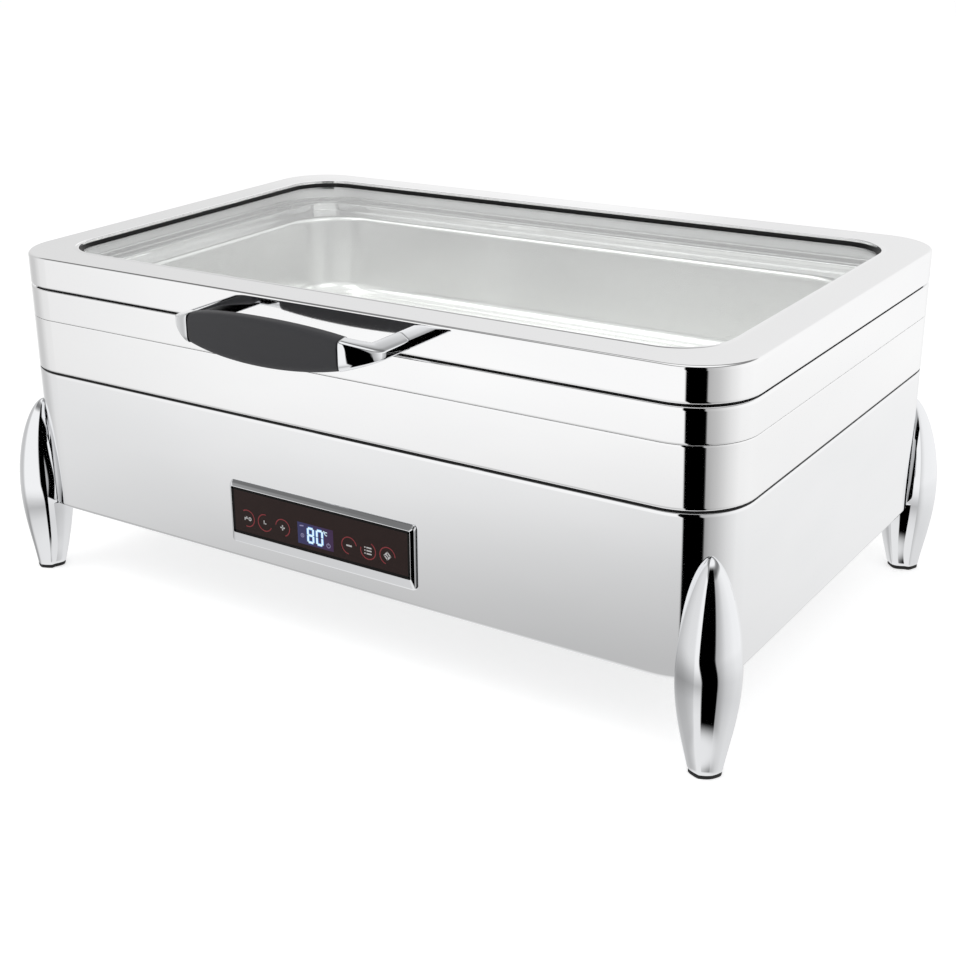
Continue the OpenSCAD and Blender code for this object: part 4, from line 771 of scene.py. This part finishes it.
rows = eased([[bezel_high[0], bezel_half_h, 2.5, 0, bezel_mid],
              [bezel_high[0], bezel_half_h, 2.5, FRAME_FOOT, bezel_mid],
              [bezel_high[0] - 0.3, bezel_half_h - (RIDGE_TOP + RIDGE_CHIN) / 2, 2.4, FRAME_RIDGE,
               bezel_mid - (RIDGE_TOP - RIDGE_CHIN) / 2],
              [glass_half_w + FRAME_LIP, glass_half_h + FRAME_LIP, 1.4, proud, z_panel],
              [glass_half_w + GLASS_FIT, glass_half_h + GLASS_FIT, 0.9, proud, z_panel],
              [glass_half_w + GLASS_FIT, glass_half_h + GLASS_FIT, 0.9, 0, z_panel]],
             [0.05, 0.3, 0.3, 0.15, 0.1, 0.05], steps=4, support=0.3)
piece("panel_frame", upright(rows, True), chrome, stands_for=["panel_bezel"], sharp=50)
rows = eased([[glass_half_w - 3, glass_half_h - 3, 0.6, 0, z_panel],
              [glass_half_w, glass_half_h, 0.8, 0, z_panel],
              [glass_half_w, glass_half_h, 0.8, glass_proud, z_panel],
              [glass_half_w - 3, glass_half_h - 3, 0.6, glass_proud, z_panel]],
             [0, 0.2, 0.25, 0], closed=False, steps=4, support=0.3)
piece("panel_window", upright(rows, False), panel_print, stands_for=["panel_glass"])
print("panel glass", round(2 * glass_half_w), "x", round(2 * glass_half_h), "mm")


# %% Functions for print
def stamp(outlines, lift, thick=0.04):
    """Flat outlines in x and z as thin plates on the panel glass, facing forwards."""
    points, faces = [], []
    for line in outlines:
        line, start, count = np.asarray(line, float), sum(map(len, points)), len(line)
        y = np.full(count, front - glass_proud - lift)
        points += [np.column_stack([line[:, 0], y, line[:, 1]]),
                   np.column_stack([line[:, 0], y - thick, line[:, 1]])]
        faces += [[start + i for i in range(count)][::-1], [start + count + i for i in range(count)]]
        faces += [[start + i, start + (i + 1) % count, start + count + (i + 1) % count, start + count + i]
                  for i in range(count)]
    return np.vstack(points), faces


def arc_band(x, z, radius, wide, start, end, count=40):
    """A band along an arc from start to end degrees, anticlockwise as seen from the front."""
    turn = np.radians(np.linspace(start, end, count))
    rim = np.column_stack([np.cos(turn), np.sin(turn)])
    return np.vstack([(radius + wide / 2) * rim, (radius - wide / 2) * rim[::-1]]) + [x, z]


def bar(x, z, length, wide, angle=0.0):
    """A bar about its middle, turned by an angle in degrees."""
    c, s = math.cos(math.radians(angle)), math.sin(math.radians(angle))
    corner = np.array([[-1, -1], [1, -1], [1, 1], [-1, 1]]) * [length / 2, wide / 2]
    return corner @ np.array([[c, s], [-s, c]]) + [x, z]


print("corners of a bar:", bar(0, 0, 4, 2).tolist())

# %% Printed keys
KEY_X = (-63.5, -47.5, -31.5, 26.5, 42.5, 58.5)
KEY_Z = z_panel - 4.5
RING_R, RING_WIDE = 6.2, 0.75
RING_ARCS = ((-105, 125), (80, 335), (-70, 170), (10, 265), (165, 425), (0, 255))
INK_LIFT = 0.01
GAP_SHADE = 1.6                   # black paint along the edges of the glass: painted shade of the gap between glass and frame
GAP_SHADE_OFF = GAP_SHADE / 2 + 0.3
GAP_SHADE_SHORT = 0.8
# The black bars along the glass's edges are painted shade: the shadow line of the gap between the glass and the
# frame.
edges = [bar(0, z_panel + s * (glass_half_h - GAP_SHADE_OFF), 2 * glass_half_w - GAP_SHADE_SHORT, GAP_SHADE)
         for s in (-1, 1)]
edges += [bar(s * (glass_half_w - GAP_SHADE_OFF), z_panel, GAP_SHADE, 2 * glass_half_h - GAP_SHADE_SHORT)
          for s in (-1, 1)]
piece("panel_painted_gap_shade", stamp(edges, INK_LIFT), gap_shade_paint)
rings = [arc_band(x, KEY_Z, RING_R, RING_WIDE, *arc) for x, arc in zip(KEY_X, RING_ARCS)]
piece("key_rings", stamp(rings, INK_LIFT), red_ink)
k1, k2, k3, k4, k5, k6 = KEY_X
signs = [bar(k1 - 0.4, KEY_Z, 4.6, 0.9), bar(k1 - 2.3, KEY_Z - 0.9, 0.9, 1.4),
         bar(k1 - 0.6, KEY_Z + 0.8, 0.9, 1.2), arc_band(k1 + 2.2, KEY_Z - 0.2, 1.1, 0.7, 0, 359),
         bar(k2 - 0.7, KEY_Z + 0.4, 0.8, 2.8), bar(k2 + 0.2, KEY_Z - 0.6, 1.9, 0.8),
         bar(k3, KEY_Z, 4.0, 1.0), bar(k3, KEY_Z, 1.0, 4.0),
         bar(k4, KEY_Z, 4.6, 1.2)]
signs += [bar(k5 + 0.8, KEY_Z + dz, 4.2, 1.0) for dz in (-2.2, 0, 2.2)]
signs += [bar(k5 - 2.6, KEY_Z + dz, 1.0, 1.0) for dz in (-2.2, 0, 2.2)]
signs += [bar(k6 + dx, KEY_Z + dz, 4.2, 1.0, angle) for dx, dz, angle in
          ((-1.3, 1.3, 45), (1.3, 1.3, -45), (1.3, -1.3, 45), (-1.3, -1.3, -45))]
signs += [bar(k6, KEY_Z, 2.6, 0.9, -45)]
INK_STEP = 0.05                # each further print lies this much higher
piece("key_signs", stamp(signs, INK_LIFT + INK_STEP), white_ink)
print("keys:", len(rings), "marks in their signs:", len(signs))

# %% [markdown]
# ## The display
# Behind the glass is a small lit display: a violet-blue ground, the set temperature in seven-segment
# figures, and a few tiny status marks. It makes its own light, so the finishes here glow slightly
# instead of waiting for the studio lamps.

# %% Light of the display
show_x, show_z = mid("display_module", 0), KEY_Z
SHOW_HALF_W, SHOW_HALF_H = 15.5, 8.0
# The ground: dim violet-blue light that fades towards plum at the right.
ground = finish("display_backlight", "#23243d", "#2d2033", (0.25, 0.3), 24, ior=1.22)
tree = ground.node_tree
where = add(tree, "ShaderNodeTexCoord")
across = add(tree, "ShaderNodeSeparateXYZ", {0: where.outputs["Object"]})
share = add(tree, "ShaderNodeMapRange", {"Value": across.outputs[0],
                                         "From Min": (show_x - SHOW_HALF_W) / 1000,
                                         "From Max": (show_x + SHOW_HALF_W) / 1000})
tint = mix(tree, share.outputs[0], linear("#3f4470"), linear("#4a2f4e"))
tree.links.new(tint, tree.nodes["Principled BSDF"].inputs["Emission Color"])
tree.nodes["Principled BSDF"].inputs["Emission Strength"].default_value = 0.55


def glowing(name, colour, strength):
    """A dark segment that gives off light of one colour."""
    return finish(name, "#202428", None, (0.3, 0.35), 2, emission_color=linear(colour),
                  emission_strength=strength)


# The figures: white-hot in the middle with a blue halo, as a bright segment blooms; the marks are dim.
lit = glowing("lit_segment", "#d9f4ff", 1.0)
halo = glowing("segment_halo", "#3a86dd", 0.8)
mark = glowing("dim_segment", "#9a94bd", 0.7)
print("materials with the display:", len(bpy.data.materials))

# %% Figures and marks
area = bar(show_x, show_z, 2 * SHOW_HALF_W, 2 * SHOW_HALF_H)
piece("display_ground", stamp([area], INK_LIFT), ground)
DIGIT_W, DIGIT_H = 4.6, 10.4
SEGMENT_WIDE = 1.5
SEGMENTS = {"a": (0, 1, 0), "d": (0, -1, 0), "g": (0, 0, 0), "b": (1, 0.5, 90), "c": (1, -0.5, 90),
            "f": (-1, 0.5, 90), "e": (-1, -0.5, 90)}


def digit(x, z, lit_segments, wide):
    """The lit segments of one figure."""
    return [bar(x + side * DIGIT_W / 2, z + rise * DIGIT_H / 2, (DIGIT_H / 2 if angle else DIGIT_W) - 0.5, wide,
                angle) for side, rise, angle in (SEGMENTS[s] for s in lit_segments)]


figure_x = show_x - 0.2
figures = [(figure_x - 3.9, "abcdefg"), (figure_x + 3.9, "abcdef")]
glow = [b for x, on in figures for b in digit(x, show_z - 0.2, on, SEGMENT_WIDE + 0.9)]
core = [b for x, on in figures for b in digit(x, show_z - 0.2, on, SEGMENT_WIDE)]
piece("figure_halo", stamp(glow, INK_LIFT + INK_STEP), halo)
core += [arc_band(show_x + 7.6, show_z + 5.0, 0.6, 0.4, 0, 359, 16),
         arc_band(show_x + 9.6, show_z + 4.0, 1.2, 0.5, 50, 310, 16)]
piece("figures", stamp(core, INK_LIFT + 2 * INK_STEP), lit)
marks = [bar(show_x - 11.8, show_z + 5.6, 3.4, 0.9, 8),
         arc_band(show_x - 11.4, show_z - 1.6, 1.3, 0.5, 0, 359, 20),
         bar(show_x - 11.4, show_z - 1.6, 1.2, 0.5, 90),
         arc_band(show_x + 11.2, show_z - 4.4, 1.5, 0.5, 110, 430, 20),
         bar(show_x + 11.2, show_z - 3.2, 1.8, 0.5, 90)]
piece("display_marks", stamp(marks, INK_LIFT + INK_STEP), mark)
print("display", 2 * SHOW_HALF_W, "x", 2 * SHOW_HALF_H, "mm at", [round(show_x, 1), round(show_z, 1)])

# %% [markdown]
# ## Hinges, dampers and the back
# Two hinges carry the lid at the back. Beside each, a small rotary damper lets the lid sink slowly
# instead of slamming. The parts are machined or moulded, so their edges are only broken, not rounded.

# %% Hinges and mains inlet
for side in ("left", "right"):
    dressed("hinge_bracket_" + side, bright, "base", 0.5)
    dressed("hinge_leaf_" + side, bright, "lid", 0.5)
dressed("hinge_pins", bright, "base", 0.3)
dressed("mains_inlet", plastic, "base", 0.4)
dressed("inlet_blades", brass, "base", 0.2)
dressed("bottom_cover", mill, "base", 0.25)

pin_low, pin_high = span("hinge_dampers")
hinge_y, hinge_z = mid("hinge_dampers", 1), mid("hinge_dampers", 2)
damper_r = (pin_high[2] - pin_low[2]) / 2
bracket_end = span("hinge_bracket_right")[1][0]
hinge_x = mid("hinge_bracket_right", 0)
damper_l = pin_high[0] - bracket_end
groove = damper_r - 0.7
shape = turned([damper_r - 0.8, damper_r, damper_r, groove, groove, damper_r, damper_r, groove, groove,
                damper_r, damper_r, damper_r - 1, 4.2, 4.0, 3.4],
               [0.05, 0.8, 4, 4.2, 5.8, 6, damper_l - 8, damper_l - 7.8, damper_l - 6.2, damper_l - 6,
                damper_l - 1, damper_l, damper_l, damper_l - 0.6, damper_l - 0.6])
barrels = [several(shape, [[s * bracket_end, hinge_y, hinge_z]], axes) for s, axes in ((1, "zxy"), (-1, "Zxy"))]
piece("damper_barrels", joined(barrels), damper, stands_for=["hinge_dampers"])
print("damper", round(damper_l, 1), "mm long,", round(2 * damper_r, 1), "mm across")

# %% [markdown]
# ## Screws
# The screws are button heads with a hexagon socket. Each is a profile turned about its axis: a dome,
# a flat rim, and a socket whose rings are hexagons. They sit where the engineering model puts them.

# %% Screws
def screw(head_r, head_h, shank):
    """A button-head screw: the head above z = 0, the shank below."""
    thread = head_r / 1.7
    r = [thread - 0.3, thread, thread, head_r - 0.05, head_r, 0.86 * head_r, 0.62 * head_r, 0.56 * head_r,
         0.5 * head_r, 0.44 * head_r]
    h = [-shank, -shank + 0.4, 0, 0, 0.25 * head_h, 0.8 * head_h, head_h, head_h, head_h - 0.15,
         0.35 * head_h]
    return turned(r, h, np.array([0, 0, 0, 0, 0, 0, 0, 1, 1, 1]))


def bolts(name, node, places, shank, axes, body="base"):
    """Screws of one length at some places, in the stead of a CAD node."""
    piece(name, several(screw(HEAD_R, HEAD_H, shank), places, axes), zinc, body, [node])


bolt_low, bolt_high = span("bracket_screws")
HEAD_R, HEAD_H = 3.4, 1.6
outer_x, inner_x = bolt_high[0] - HEAD_R, 2 * hinge_x - bolt_high[0] + HEAD_R
places = [[s * x, bolt_high[1] - HEAD_H, z] for s in (-1, 1) for x in (inner_x, outer_x)
          for z in (bolt_low[2] + HEAD_R, bolt_high[2] - HEAD_R)]
bolts("bracket_bolts", "bracket_screws", places, bolt_high[1] - HEAD_H - bolt_low[1], "xzY")
low, high = span("leaf_screws")
places = [[s * x, high[1] - HEAD_H, mid("leaf_screws", 2)] for s in (-1, 1) for x in (inner_x, outer_x)]
bolts("leaf_bolts", "leaf_screws", places, high[1] - HEAD_H - low[1], "xzY", "lid")
low, high = span("cover_screws")
COVER_SPOTS = [(-177, -162), (0, -162), (177, -162), (-177, 162), (0, 162), (177, 162), (-269, 0), (269, 0)]
places = [[x, middle + y, low[2] + HEAD_H] for x, y in COVER_SPOTS]
bolts("cover_bolts", "cover_screws", places, high[2] - low[2] - HEAD_H, "xYZ")
print("screws of the bottom cover:", len(places))

# %% [markdown]
# ## Finishes for the inner parts
# The heater, its tray, the board and the wiring stay as the engineering model made them. They are
# seen only when somebody takes the dish apart, but they still get the stuff that they are made of.

# %% Inner parts
inner = {
    mill: ["heater_tray", "element_clamps"],
    zinc: ["leg_bolts", "seam_screws", "heater_screws", "board_screws", "inlet_screws", "panel_nuts",
           "retainer_screws", "handle_screws"],
    bright: ["handle_rod"], cast: ["heater_plate"], sheath: ["heating_element"],
    steatite: ["heater_posts", "thermal_cutout"], fibre: ["insulation_mat"],
    brass: ["temperature_sensor", "board_posts", "touch_contacts"], board: ["power_board", "touch_board"],
    plastic: ["board_components", "panel_box"],
    sleeve: ["mains_wires", "heater_wires", "sensor_wire", "panel_cable"],
    damper: ["display_module"]}
for material, nodes in inner.items():
    for node in nodes:
        frame["nodes"][node].data.materials.clear()
        frame["nodes"][node].data.materials.append(material)
print("inner parts:", sum(map(len, inner.values())))

# %% [markdown]
# ## The studio
# Polished steel has no colour of its own: it shows the room. A product photographer therefore
# builds the room round the object: white boards nearly everywhere, and one narrow dark gap beside
# the camera, which draws the black strip down the near corner. Here the boards are the sky that
# reflections see; the camera itself sees plain white.

# %% Floor
scene = bpy.context.scene
floor_mesh = bpy.data.meshes.new("studio_floor")
FLOOR, FLOOR_LIGHT = 6.0, 0.56
floor_mesh.from_pydata([(x * FLOOR, y * FLOOR, 0) for x, y in ((-1, -1), (1, -1), (1, 1), (-1, 1))], [],
                       [[0, 1, 2, 3]])
floor = bpy.data.objects.new("studio_floor", floor_mesh)
scene.collection.objects.link(floor)
floor.visible_glossy = False
# Paper floor: white, with enough light of its own to meet the white background.
paper = bpy.data.materials.new("white_paper")
paper.use_nodes = True
tree = paper.node_tree
tree.nodes.clear()
matte = add(tree, "ShaderNodeBsdfDiffuse", {"Color": linear("#f2f2f2")})
path = add(tree, "ShaderNodeLightPath")
seen = calculate(tree, "MAXIMUM", path.outputs["Is Camera Ray"], path.outputs["Is Transmission Ray"])
shine = add(tree, "ShaderNodeEmission", {"Strength": calculate(tree, "MULTIPLY", seen, FLOOR_LIGHT)})
both = add(tree, "ShaderNodeAddShader", {0: matte.outputs[0], 1: shine.outputs[0]})
add(tree, "ShaderNodeOutputMaterial", {"Surface": both.outputs[0]})
floor_mesh.materials.append(paper)
print("floor", 2 * FLOOR, "m wide")


# %% [markdown]
# ### The boards
# The sky is drawn from two lists. One gives the brightness by compass direction and holds the dark
# gap; the other gives it by height, with a dark strip overhead that greys the top of the lid. Their
# product is what a polished face mirrors.

# %% Sky functions
def ramp(tree, value, stops):
    """A colour ramp over value, through grey levels at the given places."""
    made = add(tree, "ShaderNodeValToRGB", {0: value})
    points = made.color_ramp.elements
    while len(points) < len(stops):
        points.new(0.5)
    for point, (place, level) in zip(points, sorted(stops)):
        point.position = place
        point.color = (level, level, level, 1)
    return made.outputs[0]


def between(value, low, high, start=0.0, end=1.0):
    """A smooth step of value: start below low, end above high."""
    return add(tree, "ShaderNodeMapRange", {"Value": value, "From Min": low, "From Max": high, "To Min": start,
                                            "To Max": end}, interpolation_type="SMOOTHSTEP").outputs[0]


def times(*factors):
    """The product of some values."""
    made = factors[0]
    for factor in factors[1:]:
        made = calculate(tree, "MULTIPLY", made, factor)
    return made


def rise(degrees):
    """Height on a sphere of radius 1 at an elevation."""
    return math.sin(math.radians(degrees))


def compass(degrees):
    """Place on the radial gradient, which starts at the left, of a direction counted from the front."""
    return 0.25 + degrees / 360


print("the front lies at", compass(0), "of the way round")

# %% Sky by compass direction
WHITE = (1, 1, 1, 1)
world = bpy.data.worlds.new("studio")
scene.world = world
world.use_nodes = True
tree = world.node_tree
tree.nodes.clear()
where = add(tree, "ShaderNodeTexCoord")
radial = add(tree, "ShaderNodeTexGradient", {0: where.outputs["Generated"]}, gradient_type="RADIAL")
height = add(tree, "ShaderNodeSeparateXYZ", {0: where.outputs["Generated"]})
level = add(tree, "ShaderNodeMapRange", {"Value": height.outputs[2], "From Min": -1.0, "From Max": 1.0})
# The dark gap leans: from just below the horizon down towards the floor it moves to the right.
LEAN_TOP, LEAN_LOW = (-0.24, 1.6), (-0.46, -8.6)
lean = between(height.outputs[2], LEAN_LOW[0], LEAN_TOP[0], LEAN_LOW[1] / 360, LEAN_TOP[1] / 360)
leaning = calculate(tree, "ADD", radial.outputs[1], lean)
# Boards by compass direction: degrees from the front towards the right, and how bright.
boards = [(-88, 0.6), (-80, 0.62), (-62, 0.8), (-49, 0.83), (-42, 0.95), (-34, 1.0), (10.5, 1.0), (12.5, 0.0),
          (44.5, 0.0), (46.5, 0.45), (64, 0.6), (84, 0.82), (104, 0.97), (130, 1.0), (168, 0.98), (195, 0.87),
          (204, 0.84), (217, 0.8), (230, 0.75), (250, 0.68), (269, 0.6)]
round_sky = ramp(tree, leaning, [(compass(a), v) for a, v in boards])
# The gap is closed overhead and near the floor.
high_up = between(height.outputs[2], rise(50), rise(62))
low_down = between(height.outputs[2], rise(-49), rise(-43.5), 1.0, 0.0)
opened = mix(tree, calculate(tree, "MAXIMUM", high_up, low_down), round_sky, WHITE)
# Behind the dish, a white board stands on the floor; its top edge falls a little towards the left.
BOARD_TOP, BOARD_FALL, BOARD_AT = (11.5, 14.5), 0.2, 205
slope = 2 * math.pi * BOARD_FALL
fall = calculate(tree, "MULTIPLY_ADD", radial.outputs[1], slope, -compass(BOARD_AT) * slope)
board_edge = calculate(tree, "ADD", height.outputs[2], fall)
behind = times(between(board_edge, *map(rise, BOARD_TOP), 1.0, 0.0), between(radial.outputs[1], 0.811, 0.828),
               between(radial.outputs[1], 0.9, 0.97, 1.0, 0.0))
backed = mix(tree, behind, opened, WHITE)
print("boards:", len(boards))

# %% Sky by height
# By height: brightest about the horizon, greyer towards the floor in front, with a dark strip above.
overhead = [(33, 1.0), (38, 0.45), (43, 0.22), (50, 0.25), (58, 0.45), (66, 1.0)]
tiers = [(-90, 0.9), (-50, 0.88), (-41, 0.86), (-34, 0.76), (-30, 0.6), (-28, 0.53), (-26, 0.62), (-24, 0.73),
         (-22, 0.86), (-20, 0.95), (-18, 1.0)]
side_tiers = [(-90, 0.9), (-50, 0.85), (-34, 0.78), (-27, 0.83), (-24.5, 0.88), (-22, 0.92), (-20, 0.93),
              (-18, 0.96), (-16, 1.0)]
tall_sky, side_sky = (ramp(tree, level.outputs[0], [((rise(a) + 1) / 2, v) for a, v in stops + overhead])
                      for stops in (tiers, side_tiers))
to_side = times(between(radial.outputs[1], 0.394, 0.422), between(radial.outputs[1], 0.85, 0.97, 1.0, 0.0))
sky = mix(tree, 1.0, backed, mix(tree, to_side, tall_sky, side_sky), blend_type="MULTIPLY")
path = add(tree, "ShaderNodeLightPath")
AMBIENT = 0.5
# Polished metal shows the boards; the camera, and whatever looks out through glass, sees plain white.
soft_or_sky = mix(tree, path.outputs["Is Glossy Ray"], (AMBIENT, AMBIENT, AMBIENT, 1), sky)
plain = calculate(tree, "MAXIMUM", path.outputs["Is Camera Ray"], path.outputs["Is Transmission Ray"])
back_drop = add(tree, "ShaderNodeBackground", {"Color": mix(tree, plain, soft_or_sky, WHITE), "Strength": 1.0})
add(tree, "ShaderNodeOutputWorld", {"Surface": back_drop.outputs[0]})
print("sky nodes:", len(tree.nodes))

# %% Lamps
# Two wide soft boxes from above: name, place in metres, size in metres and power in watts.
lamps = [("key_box", (-1.2, -1.4, 2.6), 1.8, 16.0), ("fill_box", (1.6, -0.6, 2.2), 1.8, 8.0)]
for name, place, size, power in lamps:
    lamp = bpy.data.lights.new(name, "AREA")
    lamp.shape, lamp.size, lamp.energy = "SQUARE", size, power
    stand = bpy.data.objects.new(name, lamp)
    stand.location = place
    stand.rotation_euler = Vector([-v for v in place]).to_track_quat("-Z", "Y").to_euler()
    stand.visible_glossy = False
    stand.visible_camera = False
    scene.collection.objects.link(stand)
print("lamps:", len(lamps))

# %% [markdown]
# ## The camera
# The camera stands where the photographer stood: to the right of the dish, a little above it and a
# good metre away. The picture was cropped after it was taken, so the lens axis isn't in its middle;
# a lens shift does the same here.

# %% Camera
CAMERA_AT = np.array([628.76, -948.69, 525.80])
YAW, PITCH, ROLL = (math.radians(a) for a in (35.924, 21.178, -1.452))
FOCAL_PX, AXIS_PX, PICTURE_PX, FILM = 1582.26, (393.47, 473.96), 956, 36.0
ahead = np.array([-math.sin(YAW) * math.cos(PITCH), math.cos(YAW) * math.cos(PITCH), -math.sin(PITCH)])
right = np.array([math.cos(YAW), math.sin(YAW), 0.0])
above = np.cross(right, ahead)
tilted_right = math.cos(ROLL) * right + math.sin(ROLL) * above
tilted_up = math.cos(ROLL) * above - math.sin(ROLL) * right
lens_data = bpy.data.cameras.new("photograph")
lens_data.sensor_width = FILM
lens_data.lens = FOCAL_PX * FILM / PICTURE_PX
lens_data.shift_x = 0.5 - AXIS_PX[0] / PICTURE_PX
lens_data.shift_y = AXIS_PX[1] / PICTURE_PX - 0.5
camera = bpy.data.objects.new("photograph", lens_data)
stance = np.eye(4)
stance[:3] = np.column_stack([tilted_right, tilted_up, -ahead, CAMERA_AT / 1000])
camera.matrix_world = Matrix(stance.tolist())
scene.collection.objects.link(camera)
scene.camera = camera
scene.view_settings.view_transform = "Standard"
print("lens", round(lens_data.lens, 2), "mm, shift", round(lens_data.shift_x, 4), round(lens_data.shift_y, 4))

# %% Update the scene
bpy.context.view_layer.update()
